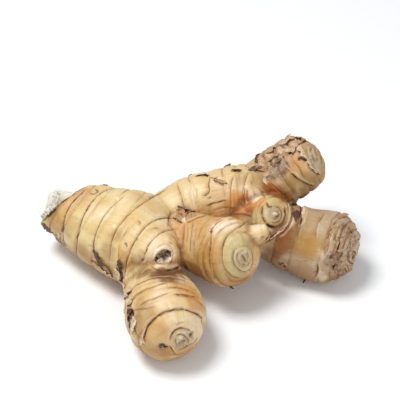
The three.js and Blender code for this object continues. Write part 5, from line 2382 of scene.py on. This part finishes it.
@dataclass(frozen=True)
class PaperFinish:
    """Dead papery scale: brown to pinkish and pale, with fine fibres, darker near its root."""

    dark: tuple[float, float, float] = as_light((84, 52, 32))
    tan: tuple[float, float, float] = as_light((184, 142, 104))
    pale: tuple[float, float, float] = as_light((238, 214, 186))
    fibre: tuple[float, float, float] = as_light((120, 82, 54))
    roughness: float = 0.62
    bump: float = 0.0003
    fibres: Point = (1.6, 0.3, 1.0)

    def build(self) -> bpy.types.Material:
        """Makes the material.

        Returns:
            The material.
        """
        s = Shader("papery_scale")
        uv = s.uv("paper")
        down, tone = s.attribute("down"), s.attribute("tone")
        fibre = s.noise(s.scaled(uv, self.fibres), 1.0, 3.0, 0.6)
        blotch = s.noise(uv, 0.5, 2.0)
        light = tone + (blotch - 0.5) * 0.6
        colour = s.mix(light.ease(0.0, 0.5), self.dark, self.tan)
        colour = s.mix(light.ease(0.5, 1.0), colour, self.pale)
        colour = s.mix(fibre.ease(0.5, 0.68) * 0.5, colour, self.fibre)
        colour = s.mix(down.ease(0.25, 0.0) * 0.5, colour, self.fibre)
        normal = s.node("ShaderNodeBump", {}, 0.5, self.bump, fibre)
        s.finish(colour, self.roughness, normal)
        return s.material


class PaperyScales:
    """The torn leaf scales, all in one piece."""

    COLUMNS = 24
    ROWS = 8
    THICKNESS = 0.16
    ROOT_DEPTH = 0.3
    CRINKLE = 0.55
    NAME = "papery_scales"

    def __init__(self, skin: Skin, finish: PaperFinish) -> None:
        """Keeps the shape and the finish.

        Args:
            skin: The root's shape.
            finish: The material's finish.
        """
        self.skin = skin
        self.finish = finish

    def build(self) -> bpy.types.Object:
        """Makes the piece.

        Returns:
            The finished piece.
        """
        material = self.finish.build()
        rows = self.ROWS + 1
        columns = self.COLUMNS + 1
        across, down = np.meshgrid(np.linspace(0, 1, columns), np.linspace(0, 1, rows))
        across, down = across.ravel(), down.ravel()
        plans = [self._plan(flap, i, across, down) for i, flap in enumerate(FLAPS)]
        feet, normals = np.zeros((len(FLAPS), len(across), 3)), np.zeros((len(FLAPS), len(across), 3))
        for on in sorted({flap.on for flap in FLAPS}):
            mine = [i for i, flap in enumerate(FLAPS) if flap.on == on]
            found, outward = self.skin.find(np.vstack([plans[i] for i in mine]), on)
            feet[mine] = found.reshape(len(mine), -1, 3)
            normals[mine] = outward.reshape(len(mine), -1, 3)
        parts = [
            self._sheet(flap, i, feet[i], normals[i], across, down) for i, flap in enumerate(FLAPS)
        ]
        piece = Bench.join(parts, self.NAME)
        piece.data.materials.clear()
        piece.data.materials.append(material)
        Bench.smooth(piece)
        return piece

    def _plan(self, flap: Flap, seed: int, across: np.ndarray, down: np.ndarray) -> np.ndarray:
        """Where each point of the sheet lies, as pixels or places on a lobe.

        Args:
            flap: The sheet.
            seed: Its number.
            across: Where the points are along the root.
            down: How far they are from the root.

        Returns:
            A place for each point.
        """
        root = self.skin.spread(self.skin.rounded(flap.root), self.COLUMNS + 1)
        edge = self.skin.spread(self.skin.rounded(flap.edge), self.COLUMNS + 1)
        at = np.round(across * self.COLUMNS).astype(int)
        ragged = np.stack([across * 6.0, down * 0 + seed, down * 0], 1)
        fullness = np.sin(math.pi * np.clip(across, 0.03, 0.97)) ** 0.3
        share = down * fullness * (1.0 + 0.7 * self.skin.fine.layered(ragged, 3))
        return root[at] * (1 - share)[:, None] + edge[at] * share[:, None]

    def _sheet(
        self, flap: Flap, seed: int, feet: np.ndarray, normals: np.ndarray, across: np.ndarray,
        down: np.ndarray,
    ) -> bpy.types.Object:
        """Makes one sheet from a grid laid on the skin and lifted off it.

        Args:
            flap: The sheet.
            seed: Its number.
            feet: The points on the skin under the grid.
            normals: The outward directions there.
            across: Where the points are along the root.
            down: How far they are from the root.

        Returns:
            The sheet.
        """
        Bench.clear()
        bpy.ops.mesh.primitive_grid_add(
            x_subdivisions=self.COLUMNS, y_subdivisions=self.ROWS, size=1.0, location=(0, 0, 0)
        )
        obj = bpy.context.view_layer.objects.active
        fullness = np.sqrt(np.sin(math.pi * np.clip(across, 0.03, 0.97)))
        lift = -self.ROOT_DEPTH + (flap.lift + self.ROOT_DEPTH) * down**1.2 * fullness
        crinkle = self.CRINKLE * self.skin.fine.layered(feet * 0.9 + seed, 3) * down
        Bench.write(obj, feet + normals * (lift + crinkle)[:, None])
        for name, values in (("down", down), ("tone", np.full_like(down, flap.pale))):
            attribute = obj.data.attributes.new(name, "FLOAT", "POINT")
            attribute.data.foreach_set("value", values.astype(np.float32))
        layer = obj.data.uv_layers[0] if obj.data.uv_layers else obj.data.uv_layers.new()
        layer.name = "paper"
        corners = np.empty(len(obj.data.loops), dtype=np.int64)
        obj.data.loops.foreach_get("vertex_index", corners)
        chart = np.stack([across * 6.0 + 10.0 * seed, down * 3.0], 1)[corners]
        layer.data.foreach_set("uv", chart.astype(np.float32).ravel())
        Bench.modify(obj, "SOLIDIFY", thickness=self.THICKNESS * MM, offset=0.0)
        return obj


@dataclass(frozen=True)
class Rootlet:
    """A broken rootlet: its foot on the skin, the radius there, its length and its sideways curl."""

    place: Pixel
    radius: float
    length: float
    curl: tuple[float, float]
    on: str = ""


ROOTLETS = (
    Rootlet((14.5, -66), 0.8, 1.3, (0.8, 0.4), "middle_finger"),
    Rootlet((33.5, 75), 0.3, 1.6, (1.8, 0.4), "back_arm"),
    Rootlet((26.0, -62), 0.5, 3.0, (0.6, 1.6), "right_lobe"),
    Rootlet((50.0, 230), 1.1, 3.6, (0.9, 0.9), "stump"),
    Rootlet((40.0, 200), 1.0, 3.4, (0.7, -0.8), "back_arm"),
    Rootlet((21.0, 235), 0.9, 2.8, (0.5, 0.9), "back_arm"),
    Rootlet((31.0, 190), 1.0, 3.2, (-0.9, 0.4), "right_lobe"),
)


@dataclass(frozen=True)
class StrandFinish:
    """A strand's colours, from its foot to its end."""

    name: str
    foot: tuple[float, float, float]
    end: tuple[float, float, float]
    roughness: float
    grain: float
    specks: tuple[float, float, float] = as_light((96, 72, 48))
    speck_scale: float = 520.0
    stretch: Point = (1.0, 1.0, 0.4)
    bump: float = 0.0002

    def build(self) -> bpy.types.Material:
        """Makes the material.

        Returns:
            The material.
        """
        s = Shader(self.name)
        where = s.coordinates()
        height = s.attribute("height")
        streaks = s.noise(s.scaled(where, self.stretch), self.grain, 3.0, 0.6)
        colour = s.mix(height, self.foot, self.end)
        colour = s.mix(streaks.ease(0.45, 0.7) * 0.4, colour, self.end)
        specks = s.noise(where, self.speck_scale, 3.0, 0.6)
        colour = s.mix(specks.ease(0.55, 0.68) * 0.7, colour, self.specks)
        normal = s.node("ShaderNodeBump", {}, 0.4, self.bump, streaks)
        s.finish(colour, self.roughness, normal)
        return s.material


class Strands:
    """Tapering strands that stand on a surface: rootlets or torn fibres."""

    SEGMENTS = 7

    def __init__(self, finish: StrandFinish, sides: int) -> None:
        """Keeps the finish and the number of sides."""
        self.finish = finish
        self.sides = sides

    def strand(
        self, foot: np.ndarray, out: np.ndarray, radius: float, length: float, curl: tuple[float, float],
        sunk: float, tip: float,
    ) -> bpy.types.Object:
        """Makes one strand from a cone, cut across and bent.

        Args:
            foot: Where it stands, in growth coordinates.
            out: The direction in which it stands.
            radius: Its radius at the foot.
            length: Its length over the foot.
            curl: How far its end bends aside.
            sunk: How far it goes below the foot.
            tip: Its radius at the end, as a share of the radius at the foot.

        Returns:
            The strand.
        """
        Bench.clear()
        whole = length + sunk
        bpy.ops.mesh.primitive_cone_add(
            vertices=self.sides, radius1=radius * MM, radius2=radius * tip * MM, depth=whole * MM,
            location=(0, 0, (whole / 2 - sunk) * MM),
        )
        obj = bpy.context.view_layer.objects.active
        bpy.ops.object.transform_apply(location=True)
        bpy.ops.object.mode_set(mode="EDIT")
        for i in range(1, self.SEGMENTS):
            bpy.ops.mesh.select_all(action="SELECT")
            level = (-sunk + whole * i / self.SEGMENTS) * MM
            bpy.ops.mesh.bisect(plane_co=(0, 0, level), plane_no=(0, 0, 1))
        bpy.ops.object.mode_set(mode="OBJECT")
        flat = np.empty(len(obj.data.vertices) * 3)
        obj.data.vertices.foreach_get("co", flat)
        local = flat.reshape(-1, 3) / MM
        height = np.maximum(local[:, 2], 0) / length
        knots = 1 + 0.12 * np.sin(9 * height + 5 * radius)
        local[:, :2] *= knots[:, None]
        local[:, 0] += curl[0] * height**2
        local[:, 1] += curl[1] * height**2
        turn = Vector((0, 0, 1)).rotation_difference(Vector(out)).to_matrix()
        Bench.write(obj, local @ np.array(turn).T + foot)
        attribute = obj.data.attributes.new("height", "FLOAT", "POINT")
        attribute.data.foreach_set("value", height.astype(np.float32))
        return obj

    def finish_piece(self, parts: Sequence[bpy.types.Object], name: str) -> bpy.types.Object:
        """Joins the strands and dresses them.

        Args:
            parts: The strands.
            name: The name of the piece.

        Returns:
            The finished piece.
        """
        piece = Bench.join(parts, name)
        piece.data.materials.clear()
        piece.data.materials.append(self.finish.build())
        Bench.smooth(piece)
        return piece


class RootStubs(Strands):
    """The broken rootlets."""

    NAME = "root_stubs"
    SUNK = 1.2
    TAPER = 0.45

    def build(self, skin: Skin) -> bpy.types.Object:
        """Makes the piece.

        Args:
            skin: The root's shape.

        Returns:
            The finished piece.
        """
        parts = []
        for stub in ROOTLETS:
            foot, out = skin.find(np.array([stub.place], float), stub.on)
            strand = self.strand(
                foot[0], out[0], stub.radius, stub.length, stub.curl, self.SUNK, self.TAPER
            )
            parts.append(strand)
        return self.finish_piece(parts, self.NAME)


@dataclass(frozen=True)
class Tuft:
    """How the torn tissue stands on the broken face: ragged sheets with fibres among them."""

    fibres: int = 70
    sheets: int = 11
    centre: tuple[float, float] = (-1.6, 3.0)
    spread: tuple[float, float] = (5.6, 3.8)
    radius: tuple[float, float] = (0.1, 0.26)
    length: tuple[float, float] = (2.4, 7.0)
    curl: float = 2.2
    lean: float = 0.28
    taper: float = 0.15
    sunk: float = 3.0
    sheet_reach: float = 7.4
    sheet_root: float = 2.5
    sheet_fold: float = 1.7
    sheet_thickness: float = 0.2
    seed: int = 5


class TornFibres(Strands):
    """The pale torn tissue that stands out of the broken face."""

    NAME = "torn_fibres"
    SHEET_COLUMNS = 22
    SHEET_ROWS = 12

    def build(self, skin: Skin, tuft: Tuft) -> bpy.types.Object:
        """Makes the piece.

        Args:
            skin: The root's shape.
            tuft: How the tissue stands.

        Returns:
            The finished piece.
        """
        rng = np.random.default_rng(tuft.seed)
        out = skin.broken.axes()[1]
        parts = [self._sheet(skin, tuft, i) for i in range(tuft.sheets)]
        for _ in range(tuft.fibres):
            x, y = rng.normal(0, 0.55, 2)
            place = np.array(tuft.centre) + np.array([x, y]) * np.array(tuft.spread)
            foot = skin.broken.point(*place)
            lean = unit(out + rng.normal(0, tuft.lean, 3))
            share = rng.uniform(0, 1)
            length = tuft.length[0] + share * (tuft.length[1] - tuft.length[0])
            radius = rng.uniform(*tuft.radius)
            curl = tuple(rng.normal(0, 0.5, 2) * tuft.curl)
            parts.append(self.strand(foot, lean, radius, length, curl, tuft.sunk, tuft.taper))
        return self.finish_piece(parts, self.NAME)

    def _sheet(self, skin: Skin, tuft: Tuft, number: int) -> bpy.types.Object:
        """Makes one ragged sheet of tissue, which stands on a row across the broken face.

        Args:
            skin: The root's shape.
            tuft: How the tissue stands.
            number: Which sheet it is.

        Returns:
            The sheet.
        """
        Bench.clear()
        bpy.ops.mesh.primitive_grid_add(
            x_subdivisions=self.SHEET_COLUMNS, y_subdivisions=self.SHEET_ROWS, size=1.0, location=(0, 0, 0)
        )
        obj = bpy.context.view_layer.objects.active
        flat = np.empty(len(obj.data.vertices) * 3)
        obj.data.vertices.foreach_get("co", flat)
        grid = flat.reshape(-1, 3) + 0.5
        across, high = np.clip(grid[:, 0], 0, 1), np.clip(grid[:, 1], 0, 1)
        share = number / (tuft.sheets - 1)
        row = tuft.centre[1] + (2 * share - 1) * tuft.spread[1]
        half = tuft.spread[0] * (0.75 + 0.5 * math.sin(math.pi * share))
        seeded = np.stack([across * 6, high * 0 + number * 3.7, high * 0], 1)
        ragged = 0.75 + 0.6 * skin.fine.layered(seeded, 3)
        reach = tuft.sheet_reach * ragged * np.sin(math.pi * np.clip(across, 0.1, 0.9))
        folds = np.stack([across * 4, high * 1.5, high * 0 + number], 1)
        fold = tuft.sheet_fold * skin.coarse.layered(folds, 3) * high
        axes = skin.broken.axes()
        aside = (2 * across - 1) * half * (1 + 0.3 * high)
        turn = 0.5 * math.sin(2.4 * number)
        local = np.stack(
            [
                tuft.centre[0] + aside * math.cos(turn) - (fold + 0.6 * high) * math.sin(turn),
                high * (reach + tuft.sheet_root) - tuft.sheet_root,
                row + aside * math.sin(turn) + fold * math.cos(turn) + 1.2 * high * (2 * share - 1),
            ],
            1,
        )
        Bench.write(obj, np.array(skin.broken.centre) + local @ axes)
        attribute = obj.data.attributes.new("height", "FLOAT", "POINT")
        attribute.data.foreach_set("value", high.astype(np.float32))
        Bench.modify(obj, "SOLIDIFY", thickness=tuft.sheet_thickness * MM, offset=0.0)
        return obj


@dataclass(frozen=True)
class Studio:
    """The plain pale surface, the soft light and the camera of the photograph."""

    view: View
    lens: float = 117.0
    sensor: float = 36.0
    floor: float = 3000.0
    floor_shade: tuple[float, float, float] = (0.95, 0.96, 0.97)
    world: float = 0.44
    world_shade: tuple[float, float, float] = (0.95, 0.98, 1.0)
    key_place: Point = (-0.30, 0.03, 0.8)
    key_size: float = 0.3
    key_power: float = 5.2
    fill_place: Point = (0.4, -0.75, 0.45)
    fill_size: float = 0.8
    fill_power: float = 2.5
    floor_roughness: float = 0.9

    def camera(self) -> None:
        """Adds the camera."""
        Bench.clear()
        tilt = math.radians(self.view.elevation)
        place = to_frame(self.view.place())
        bpy.ops.object.camera_add(location=place, rotation=(math.pi / 2 - tilt, 0, 0))
        camera = bpy.context.view_layer.objects.active
        camera.data.lens = self.lens
        camera.data.sensor_width = self.sensor
        bpy.context.scene.camera = camera

    def light(self, name: str, place: Point, size: float, power: float) -> None:
        """Adds one soft area light that faces the root.

        Args:
            name: Its name.
            place: Where it hangs, in the frame's metres.
            size: The length of its side.
            power: Its power in watts.
        """
        Bench.clear()
        aim = -Vector(place)
        turn = aim.to_track_quat("-Z", "Y").to_euler()
        bpy.ops.object.light_add(type="AREA", location=place, rotation=turn)
        lamp = bpy.context.view_layer.objects.active
        lamp.name = name
        lamp.data.shape = "SQUARE"
        lamp.data.size = size
        lamp.data.energy = power

    def build(self) -> None:
        """Adds the surface, the lights and the backdrop's light."""
        Bench.clear()
        bpy.ops.mesh.primitive_plane_add(size=self.floor * MM, location=(0, 0, 0))
        floor = bpy.context.view_layer.objects.active
        floor.name = "pale_surface"
        s = Shader("pale_surface")
        s.finish(self.floor_shade, self.floor_roughness)
        floor.data.materials.append(s.material)
        self.light("key_light", self.key_place, self.key_size, self.key_power)
        self.light("fill_light", self.fill_place, self.fill_size, self.fill_power)
        world = bpy.data.worlds.new("studio")
        world.use_nodes = True
        background = world.node_tree.nodes["Background"]
        background.inputs["Color"].default_value = (*self.world_shade, 1.0)
        background.inputs["Strength"].default_value = self.world
        bpy.context.scene.world = world
        bpy.context.scene.view_settings.view_transform = "Standard"


def main() -> None:
    """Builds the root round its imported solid."""
    logging.basicConfig(level=logging.INFO, format="%(name)s: %(message)s")
    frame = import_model()
    view = View()
    studio = Studio(view)
    studio.camera()

    skin = Skin(Relief(), view)
    rhizome = RhizomeSkin(skin, SkinFinish()).build(frame["nodes"][NODE])
    scales = PaperyScales(skin, PaperFinish()).build()
    bark = StrandFinish("rootlet", as_light((112, 82, 52)), as_light((50, 34, 24)), 0.7, 900.0)
    stubs = RootStubs(bark, 10).build(skin)
    pale = StrandFinish("torn_fibre", as_light((200, 186, 158)), as_light((232, 228, 216)), 0.6, 1200.0)
    fibres = TornFibres(pale, 5).build(skin, Tuft())
    for piece in (rhizome, scales, stubs, fibres):
        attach(piece, BODY)
        log.info("%s: %d faces", piece.name, len(piece.data.polygons))
    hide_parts(NODE)

    studio.build()


if __name__ == "__main__":
    main()
